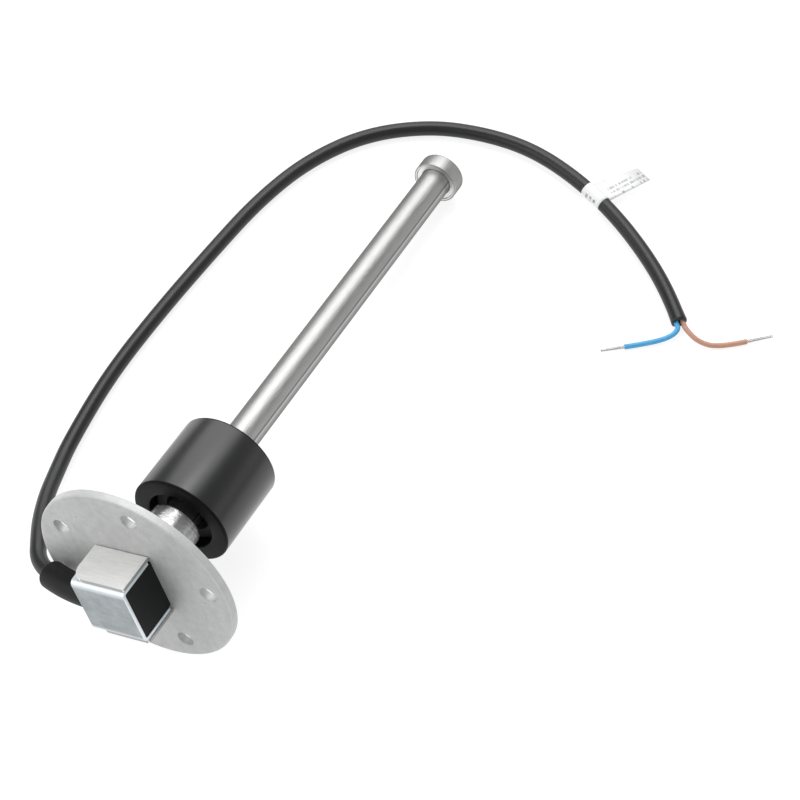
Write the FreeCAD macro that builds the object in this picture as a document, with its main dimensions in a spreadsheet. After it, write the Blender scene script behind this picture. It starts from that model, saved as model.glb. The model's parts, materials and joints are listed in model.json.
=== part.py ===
import FreeCAD, Part
import math
import os
import Sketcher

# Reed-switch fuel level sender: a five-hole flange carries a stem tube with a sliding magnet float,
# and a potted head with a two-core cable.
# Millimetres. The origin is the centre of the flange's tank-side face.
# Each rigid piece is drawn about its own stem axis: local Z runs down the stem towards the tank,
# local X points from the cable's side of the head to its open end.
# lay_down() then turns every piece so that the sender lies on a table, with the flange's rim
# and the end stop touching it.

Vector = FreeCAD.Vector

SIZES = (
    ("flange_d", 68.0, "flange diameter"),
    ("flange_t", 2.8, "flange thickness"),
    ("flange_edge", 0.4, "chamfer round both rims of the flange"),
    ("bolt_circle", 54.0, "pitch circle of the screw holes"),
    ("bolt_hole_d", 5.5, "screw hole"),
    ("bolt_count", 5, "screw holes"),
    ("tube_d", 11.0, "stem tube, outside"),
    ("tube_wall", 0.8, "stem tube wall"),
    ("stem_length", 198.5, "tank-side face to the end of the stop"),
    ("weld_gap", 0.1, "radial room of the tube in flange, collar, bracket and end stop"),
    ("collar_d", 17.0, "upper stop collar, outside"),
    ("collar_length", 20.0, "upper stop collar below the flange"),
    ("collar_edge", 0.5, "chamfer on the collar's free end"),
    ("stop_d", 16.5, "end stop cap, outside"),
    ("stop_height", 6.1, "end stop cap, along the stem"),
    ("stop_wall", 1.0, "rim round the end stop's mouth"),
    ("stop_recess", 0.5, "shallow mouth inside the end stop's rim"),
    ("stop_floor", 1.2, "end stop's floor under the tube"),
    ("stop_round", 0.7, "rounded edge of the end stop's floor"),
    ("float_d", 33.6, "float diameter"),
    ("float_height", 29.4, "float length along the stem"),
    ("float_gap", 2.2, "collar's end to the float at rest"),
    ("float_play", 1.5, "radial room of the float on the tube"),
    ("float_rest", 0.1, "room between the lying tube and the float's bore that hangs on it"),
    ("float_round", 0.7, "moulded edges of the float"),
    ("recess_d", 22.4, "magnet pocket in the float's upper end"),
    ("recess_depth", 8.0, "magnet pocket depth"),
    ("magnet_t", 4.0, "ring magnet thickness"),
    ("magnet_fit", 0.15, "radial room of the ring magnet in its pocket"),
    ("magnet_set_back", 0.45, "ring magnet's bore behind the float's bore"),
    ("tab_t", 1.1, "bracket sheet"),
    ("tab_height", 13.9, "bracket tabs above the flange"),
    ("tab_lead", 0.2, "tabs' open end past the cover's open end"),
    ("tab_back_round", 5.0, "large corner of the tabs"),
    ("tab_front_round", 1.0, "small corner of the tabs"),
    ("tab_gap", 0.15, "room between tab and cover"),
    ("base_set_back", 1.4, "ends of the bracket's base behind the tabs' ends"),
    ("tab_bend", 0.7, "outer bend of the bracket"),
    ("cover_w", 21.2, "cover across its walls, outside"),
    ("cover_t", 1.1, "cover sheet"),
    ("cover_height", 14.8, "cover's top above the flange"),
    ("cover_front", 9.7, "stem axis to the cover's open end"),
    ("head_back", 10.4, "stem axis to the cable end of cover and tabs"),
    ("cover_bend", 1.8, "outer bend of the cover"),
    ("block_inset", 0.25, "potting behind the cover's ends"),
    ("block_fit", 0.1, "room between potting and sheet metal"),
    ("boot_d", 9.2, "cable boot"),
    ("boot_drop", 0.9, "boot below the cover's sheet"),
    ("boot_side", 2.4, "boot beside the middle of the head"),
    ("boot_bend_r", 65.6, "bend of the boot's centre line"),
    ("boot_bend", 18.8, "degrees that the boot bends towards the flange"),
    ("boot_round", 1.2, "rounded free end of the boot"),
    ("board_fit", 0.2, "room between each edge of the reed board and the tube"),
    ("board_t", 1.0, "reed board thickness"),
    ("board_start", 6.0, "tank-side face to the board"),
    ("board_room", 1.0, "board's end to the stop's floor"),
    ("reed_d", 2.2, "reed switch glass"),
    ("reed_length", 11.0, "reed switch glass length"),
    ("reed_tail", 1.8, "reed glass to each leg"),
    ("reed_lead_d", 0.5, "reed switch leads"),
    ("reed_lift", 0.2, "reed glass above the board"),
    ("reed_room", 2.3, "gap between reed switches"),
    ("chip_length", 3.2, "chip resistor length"),
    ("chip_w", 1.6, "chip resistor width"),
    ("chip_t", 0.6, "chip resistor height"),
    ("core_d", 1.2, "inner lead diameter"),
    ("core_spread", 2.2, "stem axis to each inner lead"),
    ("cable_d", 5.3, "cable sheath"),
    ("wire_d", 1.8, "cable core insulation"),
    ("strand_d", 1.3, "tinned wire ends"),
    ("label_w", 9.0, "label along the cable"),
    ("label_t", 0.3, "label thickness"),
    ("label_fit", 0.15, "room between label and cable"),
    ("flag_reach", 20.4, "cable centre to the flag's free end"),
    ("flag_end_w", 7.0, "flag at its free end"),
    ("flag_skew", 3.0, "sideways lean of the flag's free end"),
    ("lay_roll", 69.33, "degrees that the head is rolled from upright"),
)

# Route of the free cable on the table, after its straight start out of the boot: x, y and height
# above the table.
CABLE_START_RUN = 7.5
CABLE_ROUTE = (
    (1.4, 40.9, 16.0),
    (8.6, 45.7, 12.5),
    (18.7, 50.7, 8.5),
    (29.9, 54.4, 5.0),
    (41.6, 57.5, 3.2),
    (70.0, 60.5, 2.7),
    (100.0, 59.5, 2.7),
    (130.0, 57.0, 2.7),
    (158.0, 54.0, 2.7),
    (182.0, 47.5, 2.7),
    (203.0, 35.0, 2.7),
    (217.5, 16.0, 2.8),
    (223.8, -3.5, 2.9),
    (225.3, -22.0, 3.0),
    (220.6, -42.0, 3.3),
    (212.0, -61.5, 3.3),
    (200.5, -79.5, 3.0),
    (189.0, -93.0, 2.7),
    (181.0, -100.0, 2.7),
)
# The label sits in the middle of the run that ends this many points before the cable's end.
LABEL_RUN_END = 4
# Cores past the sheath's end: x and y from that end, and height above the table.
BLUE_ROUTE = ((-6.6, 0.5, 1.8), (-11.6, 5.8, 1.1), (-17.0, 12.7, 1.0))
BROWN_ROUTE = ((-3.7, -8.6, 1.7), (-2.2, -15.6, 1.1), (4.8, -23.2, 1.0))
CORE_SIDE = 1.15
CORE_START_RUN = 2.8
BLUE_STRAND_LENGTH = 8.3
BROWN_STRAND_LENGTH = 9.4

ARC_SHARE = 0.45
VOLUME_TOLERANCE = 0.02

doc = FreeCAD.newDocument("FuelLevelSender")
nodes = []


def make_sheet():
    """Driving dimensions, one alias each."""
    table = doc.addObject("Spreadsheet::Sheet", "Sizes")
    for row, (alias, size, note) in enumerate(SIZES, start=1):
        table.set(f"A{row}", note)
        table.set(f"B{row}", str(size))
        table.setAlias(f"B{row}", alias)
    doc.recompute()
    return table


sheet = make_sheet()


def formula(text):
    """Expression text with the sheet named in front of every alias."""
    for alias in sorted((row[0] for row in SIZES), key=len, reverse=True):
        text = text.replace("@" + alias, "Sizes." + alias)
    return text


def value(text):
    """Number that an expression gives now."""
    result = sheet.evalExpression(formula(text))
    return float(getattr(result, "Value", result))


def bind(obj, path, text):
    obj.setExpression(path, formula(text))


def lay_down(obj, drop):
    """Turn a finished piece into the pose in which the sender rests on the table, lowered by a drop."""
    slope = "atan((@flange_d - @stop_d) / 2 / @stem_length)"
    vector = "create(<<vector>>; {}; {}; {})"
    turn = "create(<<rotation>>; {}; {})"
    pitch = turn.format(vector.format(0, 1, 0), f"90 + {slope} / 1deg")
    roll = turn.format(vector.format(0, 0, 1), "180 + @lay_roll")
    place = vector.format(f"-{drop} * sin({slope})", 0, f"-{drop} * cos({slope})")
    bind(obj, "Placement", f"create(<<placement>>; {place}; {pitch} * {roll})")


def keep(obj, label, lying=True, drop="0"):
    """Name a finished sub-part and list it for export."""
    obj.Label = label
    if lying:
        lay_down(obj, drop)
    nodes.append(obj)
    doc.recompute()


# Sketch and feature helpers

def new_sketch(body, name, role, offset=None):
    """Sketch on one of the body's origin planes, moved along its normal by an expression."""
    sketch = body.newObject("Sketcher::SketchObject", name)
    plane = next(item for item in body.Origin.OriginFeatures if item.Role == role)
    sketch.AttachmentSupport = [(plane, "")]
    sketch.MapMode = "FlatFace"
    if offset:
        bind(sketch, "AttachmentOffset.Base.z", offset)
    return sketch


def dimension(sketch, name, constraint, text):
    index = sketch.addConstraint(constraint)
    sketch.renameConstraint(index, name)
    bind(sketch, "Constraints." + name, text)


def add_circle(sketch, name, diameter, across="0", up="0"):
    """Circle with its centre at the given distances from the sketch's origin."""
    centre = Vector(value(across), value(up), 0)
    index = sketch.addGeometry(Part.Circle(centre, Vector(0, 0, 1), value(diameter) / 2))
    dimension(sketch, name, Sketcher.Constraint("Diameter", index, value(diameter)), diameter)
    place_point(sketch, name, index, 3, across, up)


def place_point(sketch, name, index, end, across, up):
    """Hold a point at two distances from the sketch's origin."""
    if across == "0":
        sketch.addConstraint(Sketcher.Constraint("PointOnObject", index, end, -2))
    else:
        held = Sketcher.Constraint("DistanceX", -1, 1, index, end, value(across))
        dimension(sketch, name + "_across", held, across)
    if up == "0":
        sketch.addConstraint(Sketcher.Constraint("PointOnObject", index, end, -1))
    else:
        held = Sketcher.Constraint("DistanceY", -1, 1, index, end, value(up))
        dimension(sketch, name + "_up", held, up)


def add_outline(sketch, corners, name="corner"):
    """Closed outline of straight lines through corners given as pairs of expressions."""
    points = [Vector(value(across), value(up), 0) for across, up in corners]
    lines = []
    for start, end in zip(points, points[1:] + points[:1]):
        lines.append(sketch.addGeometry(Part.LineSegment(start, end)))
    for index, following in zip(lines, lines[1:] + lines[:1]):
        sketch.addConstraint(Sketcher.Constraint("Coincident", index, 2, following, 1))
    for number, (index, (across, up)) in enumerate(zip(lines, corners)):
        place_point(sketch, f"{name}{number}", index, 1, across, up)


def new_feature(body, kind, name, sketch):
    feature = body.newObject("PartDesign::" + kind, name)
    feature.Profile = sketch
    return feature


def pad(body, name, sketch, length, reverse=False, middle=False):
    feature = new_feature(body, "Pad", name, sketch)
    bind(feature, "Length", length)
    feature.Reversed = reverse
    feature.Midplane = middle
    doc.recompute()
    return feature


def cut_through(body, name, sketch, width=None):
    """Pocket in both directions, right through or over a width, which has to remove something."""
    before = body.Shape.Volume
    feature = new_feature(body, "Pocket", name, sketch)
    if width:
        bind(feature, "Length", width)
    else:
        feature.Type = "ThroughAll"
    feature.Midplane = True
    doc.recompute()
    if body.Shape.Volume >= before:
        raise RuntimeError(name + " cuts nothing")
    return feature


def revolve(body, name, sketch):
    feature = new_feature(body, "Revolution", name, sketch)
    feature.ReferenceAxis = (sketch, ["V_Axis"])
    doc.recompute()
    return feature


def dress(body, kind, name, size, chosen):
    """Fillet or chamfer the edges of the body's tip that the test picks."""
    base = body.Tip
    names = [f"Edge{number}" for number, edge in enumerate(base.Shape.Edges, start=1) if chosen(edge)]
    if not names:
        raise RuntimeError(name + " finds no edge")
    feature = body.newObject("PartDesign::" + kind, name)
    feature.Base = (base, names)
    bind(feature, "Radius" if kind == "Fillet" else "Size", size)
    doc.recompute()


def near(first, second):
    return math.isclose(first, second, abs_tol=1e-4)


def is_rim(diameter, level=None):
    """Test for a round edge of this diameter about the stem, at this level."""
    def test(edge):
        curve = edge.Curve
        if not isinstance(curve, Part.Circle) or not near(curve.Radius, value(diameter) / 2):
            return False
        on_axis = near(curve.Center.x, 0) and near(curve.Center.y, 0)
        return on_axis and (level is None or near(curve.Center.z, value(level)))
    return test


def is_line_at(axis, **place):
    """Test for a straight edge along one axis, through the place given in the other two."""
    def test(edge):
        if not isinstance(edge.Curve, Part.Line):
            return False
        run = edge.Curve.Direction
        centre = edge.CenterOfMass
        along = near(abs(getattr(run, axis)), 1)
        return along and all(near(abs(getattr(centre, key)), abs(value(text))) for key, text in place.items())
    return test


# Flange, stem and stops

def make_flange():
    body = doc.addObject("PartDesign::Body", "flange")
    disc = new_sketch(body, "FlangeDisc", "XY_Plane")
    add_circle(disc, "rim", "@flange_d")
    add_circle(disc, "stem_hole", "@tube_d + 2 * @weld_gap")
    pad(body, "FlangePlate", disc, "@flange_t", reverse=True)
    dress(body, "Chamfer", "FlangeEdges", "@flange_edge", is_rim("@flange_d"))
    hole = new_sketch(body, "ScrewHoleCircle", "XY_Plane")
    add_circle(hole, "screw", "@bolt_hole_d", across="@bolt_circle / 2")
    pocket = cut_through(body, "ScrewHole", hole)
    pattern = body.newObject("PartDesign::PolarPattern", "ScrewHoles")
    pattern.Originals = [pocket]
    pattern.Axis = (disc, ["N_Axis"])
    pattern.Angle = 360
    bind(pattern, "Occurrences", "@bolt_count")
    body.Tip = pattern
    keep(body, "flange")


def make_sleeve(label, outer, inner, start, length):
    """Plain round sleeve about the stem axis."""
    body = doc.addObject("PartDesign::Body", label)
    ring = new_sketch(body, label + "_ring", "XY_Plane", start)
    add_circle(ring, "outside", outer)
    add_circle(ring, "inside", inner)
    pad(body, label + "_sleeve", ring, length)
    return body


def make_stem_tube():
    inner = "@tube_d - 2 * @tube_wall"
    length = "@stem_length - @stop_floor + @flange_t"
    keep(make_sleeve("stem_tube", "@tube_d", inner, "-@flange_t", length), "stem_tube")


def make_stop_collar():
    body = make_sleeve("stop_collar", "@collar_d", "@tube_d + 2 * @weld_gap", "0", "@collar_length")
    dress(body, "Chamfer", "CollarEdge", "@collar_edge", is_rim("@collar_d", "@collar_length"))
    keep(body, "stop_collar")


def make_end_stop():
    """Turned cap on the tube's end, which closes it and stops the float."""
    body = doc.addObject("PartDesign::Body", "end_stop")
    profile = new_sketch(body, "StopProfile", "XZ_Plane")
    outer = "@stop_d / 2"
    rim = "@stop_d / 2 - @stop_wall"
    socket = "@tube_d / 2 + @weld_gap"
    mouth = "@stem_length - @stop_height"
    seat = mouth + " + @stop_recess"
    floor = "@stem_length - @stop_floor"
    add_outline(profile, (
        ("0", "@stem_length"),
        (outer, "@stem_length"),
        (outer, mouth),
        (rim, mouth),
        (rim, seat),
        (socket, seat),
        (socket, floor),
        ("0", floor),
    ))
    revolve(body, "StopCap", profile)
    dress(body, "Fillet", "StopRound", "@stop_round", is_rim("@stop_d", "@stem_length"))
    keep(body, "end_stop")


# Float

FLOAT_TOP = "(@collar_length + @float_gap)"
FLOAT_BORE = "(@tube_d / 2 + @float_play)"
FLOAT_DROP = "(@float_play - @float_rest)"


def make_float():
    """Moulded float with a running bore and a pocket for the ring magnet in its upper end."""
    body = doc.addObject("PartDesign::Body", "float")
    profile = new_sketch(body, "FloatProfile", "XZ_Plane")
    outer = "@float_d / 2"
    pocket = "@recess_d / 2"
    seat = FLOAT_TOP + " + @recess_depth"
    end = FLOAT_TOP + " + @float_height"
    add_outline(profile, (
        (FLOAT_BORE, seat),
        (pocket, seat),
        (pocket, FLOAT_TOP),
        (outer, FLOAT_TOP),
        (outer, end),
        (FLOAT_BORE, end),
    ))
    revolve(body, "FloatBody", profile)
    dress(body, "Fillet", "FloatRounds", "@float_round", is_rim("@float_d"))
    keep(body, "float", drop=FLOAT_DROP)


def make_float_magnet():
    """Ring magnet on the floor of the float's pocket."""
    outer = "@recess_d - 2 * @magnet_fit"
    inner = f"2 * ({FLOAT_BORE} + @magnet_set_back)"
    start = FLOAT_TOP + " + @recess_depth - @magnet_t"
    body = make_sleeve("float_magnet", outer, inner, start, "@magnet_t")
    keep(body, "float_magnet", drop=FLOAT_DROP)


# Head

TAB_INNER = "(@cover_w / 2 + @tab_gap)"
TAB_OUTER = "(@cover_w / 2 + @tab_gap + @tab_t)"
TAB_TOP = "-(@flange_t + @tab_height)"
TAB_FRONT = "(@cover_front + @tab_lead)"
BASE_TOP = "-(@flange_t + @tab_t)"
BASE_FRONT = "(@cover_front + @tab_lead - @base_set_back)"
BASE_BACK = "(@head_back - @base_set_back)"
BLOCK_FOOT = "-(@flange_t + @tab_t + @block_fit)"
COVER_TOP = "-(@flange_t + @cover_height)"
BLOCK_BACK = "(@head_back - @block_inset)"
BOOT_ROOT = "(@flange_t + @cover_height - @cover_t - @boot_drop - @boot_d / 2)"


def make_head_bracket():
    """U-shaped sheet bracket on the flange: a base under the head and two tabs beside it."""
    body = doc.addObject("PartDesign::Body", "head_bracket")
    section = new_sketch(body, "BracketSection", "YZ_Plane", "-@head_back")
    add_outline(section, (
        ("-" + TAB_OUTER, "-@flange_t"),
        (TAB_OUTER, "-@flange_t"),
        (TAB_OUTER, TAB_TOP),
        (TAB_INNER, TAB_TOP),
        (TAB_INNER, BASE_TOP),
        ("-" + TAB_INNER, BASE_TOP),
        ("-" + TAB_INNER, TAB_TOP),
        ("-" + TAB_OUTER, TAB_TOP),
    ))
    pad(body, "BracketChannel", section, "@head_back + " + TAB_FRONT)
    stem_hole = new_sketch(body, "BracketHole", "XY_Plane")
    add_circle(stem_hole, "stem_hole", "@tube_d + 2 * @weld_gap")
    cut_through(body, "BracketStemHole", stem_hole)
    notches = new_sketch(body, "BaseEnds", "XZ_Plane")
    for name, outer, inner in (("front", TAB_FRONT, BASE_FRONT), ("back", "-@head_back", "-" + BASE_BACK)):
        add_outline(notches, (
            (outer, "-@flange_t"),
            (inner, "-@flange_t"),
            (inner, BASE_TOP),
            (outer, BASE_TOP),
        ), name)
    cut_through(body, "BaseEndNotches", notches, "2 * " + TAB_INNER)
    back = is_line_at("y", x="@head_back", z=TAB_TOP)
    dress(body, "Fillet", "TabBackRound", "@tab_back_round", back)
    front = is_line_at("y", x=TAB_FRONT, z=TAB_TOP)
    dress(body, "Fillet", "TabFrontRound", "@tab_front_round", front)
    bend = is_line_at("x", y=TAB_OUTER, z="@flange_t")
    dress(body, "Fillet", "BracketBend", "@tab_bend", bend)
    keep(body, "head_bracket")


def make_head_cover():
    """Folded cover: a top plate and two walls that stand on the bracket's base."""
    body = doc.addObject("PartDesign::Body", "head_cover")
    section = new_sketch(body, "CoverSection", "YZ_Plane", "-@head_back")
    outer = "(@cover_w / 2)"
    inner = "(@cover_w / 2 - @cover_t)"
    under = "-(@flange_t + @cover_height - @cover_t)"
    add_outline(section, (
        (outer, BASE_TOP),
        (outer, COVER_TOP),
        ("-" + outer, COVER_TOP),
        ("-" + outer, BASE_TOP),
        ("-" + inner, BASE_TOP),
        ("-" + inner, under),
        (inner, under),
        (inner, BASE_TOP),
    ))
    pad(body, "CoverChannel", section, "@head_back + @cover_front")
    outside = is_line_at("x", y=outer, z=COVER_TOP)
    dress(body, "Fillet", "CoverOuterBend", "@cover_bend", outside)
    inside = is_line_at("x", y=inner, z=under)
    dress(body, "Fillet", "CoverInnerBend", "@cover_bend - @cover_t", inside)
    keep(body, "head_cover")


def make_potting_block():
    """Potting that fills the cover down to the flange, with the bracket's base let into it."""
    body = doc.addObject("PartDesign::Body", "potting_block")
    half = "(@cover_w / 2 - @cover_t - @block_fit)"
    top = "-(@flange_t + @cover_height - @cover_t - @block_fit)"
    front = "(@cover_front - @block_inset)"
    base_front = f"({BASE_FRONT} + @block_fit)"
    base_back = f"({BASE_BACK} + @block_fit)"
    side = new_sketch(body, "BlockSide", "XZ_Plane")
    add_outline(side, (
        ("-" + BLOCK_BACK, "-@flange_t"),
        ("-" + base_back, "-@flange_t"),
        ("-" + base_back, BLOCK_FOOT),
        (base_front, BLOCK_FOOT),
        (base_front, "-@flange_t"),
        (front, "-@flange_t"),
        (front, top),
        ("-" + BLOCK_BACK, top),
    ))
    pad(body, "BlockFill", side, "2 * " + half, middle=True)
    bend = is_line_at("x", y=half, z=top)
    dress(body, "Fillet", "BlockEdges", "@cover_bend - @cover_t", bend)
    keep(body, "potting_block")


def make_cable_boot():
    """Soft sleeve from the potting's end face, bent a little towards the flange."""
    body = doc.addObject("PartDesign::Body", "cable_boot")
    root = new_sketch(body, "BootRoot", "YZ_Plane", "-" + BLOCK_BACK)
    add_circle(root, "boot", "@boot_d", across="@boot_side", up="-" + BOOT_ROOT)
    pivot = value("@boot_bend_r - " + BOOT_ROOT)
    half_axis = value("@boot_d")
    ends = (Vector(-half_axis, pivot, 0), Vector(half_axis, pivot, 0))
    axis = root.addGeometry(Part.LineSegment(*ends), True)
    root.addConstraint(Sketcher.Constraint("Horizontal", axis))
    place_point(root, "pivot", axis, 1, "-@boot_d", "@boot_bend_r - " + BOOT_ROOT)
    feature = new_feature(body, "Revolution", "BootBend", root)
    feature.ReferenceAxis = (root, ["Axis0"])
    bind(feature, "Angle", "@boot_bend")
    doc.recompute()
    if body.Shape.BoundBox.XMax > -value(BLOCK_BACK) + value("@block_fit"):
        feature.Reversed = True
        doc.recompute()
    reach = -value(f"{BLOCK_BACK} + @boot_bend_r / 4 * sin(@boot_bend * 1deg)")
    dress(body, "Fillet", "BootRound", "@boot_round", lambda edge: edge.BoundBox.XMax < reach)
    keep(body, "cable_boot")


# Electrical insides: the reed switches follow the magnet from the collar to the end stop

REED_FIRST = f"({FLOAT_TOP} + @recess_depth - @magnet_t / 2)"
REED_SPAN = "(@reed_length + 2 * @reed_tail)"
REED_PITCH = f"({REED_SPAN} + @reed_lead_d + @reed_room)"
FLOAT_TRAVEL = f"(@stem_length - @stop_height - @float_height - {FLOAT_TOP})"


def make_reed_board():
    """Narrow circuit board that the tube's wall guides at both edges."""
    body = doc.addObject("PartDesign::Body", "reed_board")
    section = new_sketch(body, "BoardSection", "XY_Plane", "@board_start")
    edge = "(@tube_d / 2 - @tube_wall - @board_fit)"
    add_outline(section, (
        ("-" + edge, "-@board_t / 2"),
        (edge, "-@board_t / 2"),
        (edge, "@board_t / 2"),
        ("-" + edge, "@board_t / 2"),
    ))
    pad(body, "BoardBlank", section, "@stem_length - @stop_floor - @board_room - @board_start")
    keep(body, "reed_board")


def group(label, pieces):
    """Several like solids as one sub-part."""
    compound = doc.addObject("Part::Compound", label + "_group")
    compound.Links = pieces
    keep(compound, label)


def rod(name, diameter, length, place):
    """Round rod along the stem axis, with its lower end at the given place."""
    cylinder = doc.addObject("Part::Cylinder", name)
    bind(cylinder, "Radius", f"({diameter}) / 2")
    bind(cylinder, "Height", length)
    for key, text in zip("xyz", place):
        bind(cylinder, "Placement.Base." + key, text)
    return cylinder


def make_reed(number):
    """Glass reed switch: capsule, straight lead through it and two legs down to the board."""
    middle = f"({REED_FIRST} + {number} * {REED_PITCH})"
    level = "(@board_t / 2 + @reed_lift + @reed_d / 2)"
    glass = rod(f"Glass{number}", "@reed_d", "@reed_length", ("0", level, middle + " - @reed_length / 2"))
    lead = rod(f"Lead{number}", "@reed_lead_d", REED_SPAN, ("0", level, f"{middle} - {REED_SPAN} / 2"))
    legs = []
    for side in ("-", "+"):
        leg = doc.addObject("Part::Box", f"Leg{number}")
        bind(leg, "Length", "@reed_lead_d")
        bind(leg, "Width", f"{level} - @board_t / 2")
        bind(leg, "Height", "@reed_lead_d")
        bind(leg, "Placement.Base.x", "-@reed_lead_d / 2")
        bind(leg, "Placement.Base.y", "@board_t / 2")
        bind(leg, "Placement.Base.z", f"{middle} {side} {REED_SPAN} / 2 - @reed_lead_d / 2")
        legs.append(leg)
    reed = doc.addObject("Part::MultiFuse", f"Reed{number}")
    reed.Shapes = [glass, lead] + legs
    return reed


def make_chip(number):
    """Chip resistor on the board's back, between two reed switches."""
    chip = doc.addObject("Part::Box", f"Chip{number}")
    bind(chip, "Length", "@chip_w")
    bind(chip, "Width", "@chip_t")
    bind(chip, "Height", "@chip_length")
    bind(chip, "Placement.Base.x", "-@chip_w / 2")
    bind(chip, "Placement.Base.y", "-@board_t / 2 - @chip_t")
    bind(chip, "Placement.Base.z", f"{REED_FIRST} + {number + 0.5} * {REED_PITCH} - @chip_length / 2")
    return chip


def make_electrics():
    make_reed_board()
    spaces = int(value(f"{FLOAT_TRAVEL} / {REED_PITCH}"))
    group("reed_switches", [make_reed(number) for number in range(spaces + 1)])
    group("chip_resistors", [make_chip(number) for number in range(spaces)])
    length = f"@board_start - {BLOCK_FOOT}"
    leads = [
        rod(f"InnerLead{number}", "@core_d", length, (f"{side}@core_spread", "0", BLOCK_FOOT))
        for number, side in enumerate(("", "-"))
    ]
    group("inner_leads", leads)


# Cable, cores and label

def cord_tube(points, diameter, name):
    """Tube of straight runs joined by tangent arcs, as large as the runs allow."""
    edges = []
    start = points[0]
    radii = []
    for before, corner, after in zip(points, points[1:], points[2:]):
        come = corner - before
        go = after - corner
        trim = ARC_SHARE * min(come.Length, go.Length)
        half_turn = come.getAngle(go) / 2
        radius = trim / math.tan(half_turn)
        radii.append(radius)
        come.normalize()
        go.normalize()
        first = corner - come * trim
        last = corner + go * trim
        inward = go - come
        inward.normalize()
        middle = corner + inward * (radius / math.cos(half_turn) - radius)
        edges.append(Part.LineSegment(start, first).toShape())
        edges.append(Part.Arc(first, middle, last).toShape())
        start = last
    edges.append(Part.LineSegment(start, points[-1]).toShape())
    path = Part.Wire(edges)
    section = Part.Wire(Part.Circle(points[0], points[1] - points[0], diameter / 2).toShape())
    tube = path.makePipeShell([section], True, False)
    expected = math.pi * diameter ** 2 / 4 * path.Length
    if abs(tube.Volume / expected - 1) > VOLUME_TOLERANCE:
        raise RuntimeError(name + " tube has the wrong volume")
    print(name, "length", round(path.Length, 1), "radii", [round(radius, 1) for radius in radii])
    return tube


def keep_shape(label, shape):
    feature = doc.addObject("Part::Feature", label)
    feature.Shape = shape
    keep(feature, label, lying=False)


def on_table(x, y, height):
    """Point at a height above the table, which the flange's rim touches."""
    slope = math.atan(value("(@flange_d - @stop_d) / 2 / @stem_length"))
    return Vector(x, y, height - value("@flange_d / 2") * math.cos(slope))


def boot_mouth():
    """Centre of the boot's free end and the way that the cable leaves it."""
    bend = math.radians(value("@boot_bend"))
    radius = value("@boot_bend_r")
    across = -value(BLOCK_BACK) - radius * math.sin(bend)
    along = -value(BOOT_ROOT) + radius * (1 - math.cos(bend))
    turn = doc.getObject("flange").Placement.Rotation
    place = turn.multVec(Vector(across, value("@boot_side"), along))
    way = turn.multVec(Vector(-math.cos(bend), 0, math.sin(bend)))
    return place, way


def make_cable():
    """Sheathed cable from the boot down to the table and along it; gives its route."""
    mouth, way = boot_mouth()
    points = [mouth, mouth + way * CABLE_START_RUN]
    points += [on_table(*place) for place in CABLE_ROUTE]
    keep_shape("cable", cord_tube(points, value("@cable_d"), "cable"))
    return points


def make_core(color, cable_points, side, route, strand_length):
    """One insulated core out of the sheath's end, and its tinned strands."""
    end = cable_points[-1]
    way = end - cable_points[-2]
    across = Vector(way.y, -way.x, 0)
    across.normalize()
    start = end + across * (side * CORE_SIDE)
    way.normalize()
    points = [start, start + way * CORE_START_RUN]
    for x, y, height in route:
        points.append(on_table(end.x + x, end.y + y, height))
    keep_shape(color + "_wire", cord_tube(points, value("@wire_d"), color + "_wire"))
    run = points[-1] - points[-2]
    strands = doc.addObject("Part::Cylinder", color + "_strands")
    bind(strands, "Radius", "@strand_d / 2")
    strands.Height = strand_length
    strands.Placement = FreeCAD.Placement(points[-1], FreeCAD.Rotation(Vector(0, 0, 1), run))
    keep(strands, color + "_strands", lying=False)


def make_cable_label(cable_points):
    """Label wrapped round the cable, with its two ends stuck together as a flag."""
    body = doc.addObject("PartDesign::Body", "cable_label")
    inner = "(@cable_d / 2 + @label_fit)"
    flag = new_sketch(body, "FlagOutline", "XY_Plane")
    add_outline(flag, (
        (inner + " + @label_t / 2", "-@label_w / 2"),
        ("@flag_reach", "-@flag_end_w / 2 - @flag_skew"),
        ("@flag_reach", "@flag_end_w / 2 - @flag_skew"),
        (inner + " + @label_t / 2", "@label_w / 2"),
    ))
    pad(body, "Flag", flag, "@label_t", middle=True)
    wrap = new_sketch(body, "WrapRing", "XZ_Plane")
    add_circle(wrap, "inside", "2 * " + inner)
    add_circle(wrap, "outside", "2 * " + inner + " + 2 * @label_t")
    pad(body, "Wrap", wrap, "@label_w", middle=True)
    start, end = cable_points[-LABEL_RUN_END - 1], cable_points[-LABEL_RUN_END]
    turn = FreeCAD.Rotation(Vector(0, -1, 0), end - start)
    body.Placement = FreeCAD.Placement((start + end) / 2, turn)
    keep(body, "cable_label", lying=False)


def check_and_export():
    doc.recompute()
    for obj in doc.Objects:
        if "Invalid" in obj.State or "Error" in obj.State:
            raise RuntimeError(obj.Label + " failed: " + ", ".join(obj.State))
    os.makedirs("parts", exist_ok=True)
    for node in nodes:
        shape = node.Shape
        if shape.isNull() or not shape.isValid():
            raise RuntimeError(node.Label + " has no valid shape")
        shape.exportStep(f"parts/{node.Label}.step")
        print(node.Label, len(shape.Solids), "solids", round(shape.Volume, 1), "mm3")


make_flange()
make_stem_tube()
make_stop_collar()
make_end_stop()
make_float()
make_float_magnet()
make_head_bracket()
make_head_cover()
make_potting_block()
make_cable_boot()
make_electrics()
cable_route = make_cable()
make_core("blue", cable_route, 1, BLUE_ROUTE, BLUE_STRAND_LENGTH)
make_core("brown", cable_route, -1, BROWN_ROUTE, BROWN_STRAND_LENGTH)
make_cable_label(cable_route)
check_and_export()
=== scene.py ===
import json
import math

import bmesh
import bpy
from bpy.props import FloatProperty, FloatVectorProperty, IntProperty, PointerProperty
from mathutils import Matrix, Vector


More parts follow.
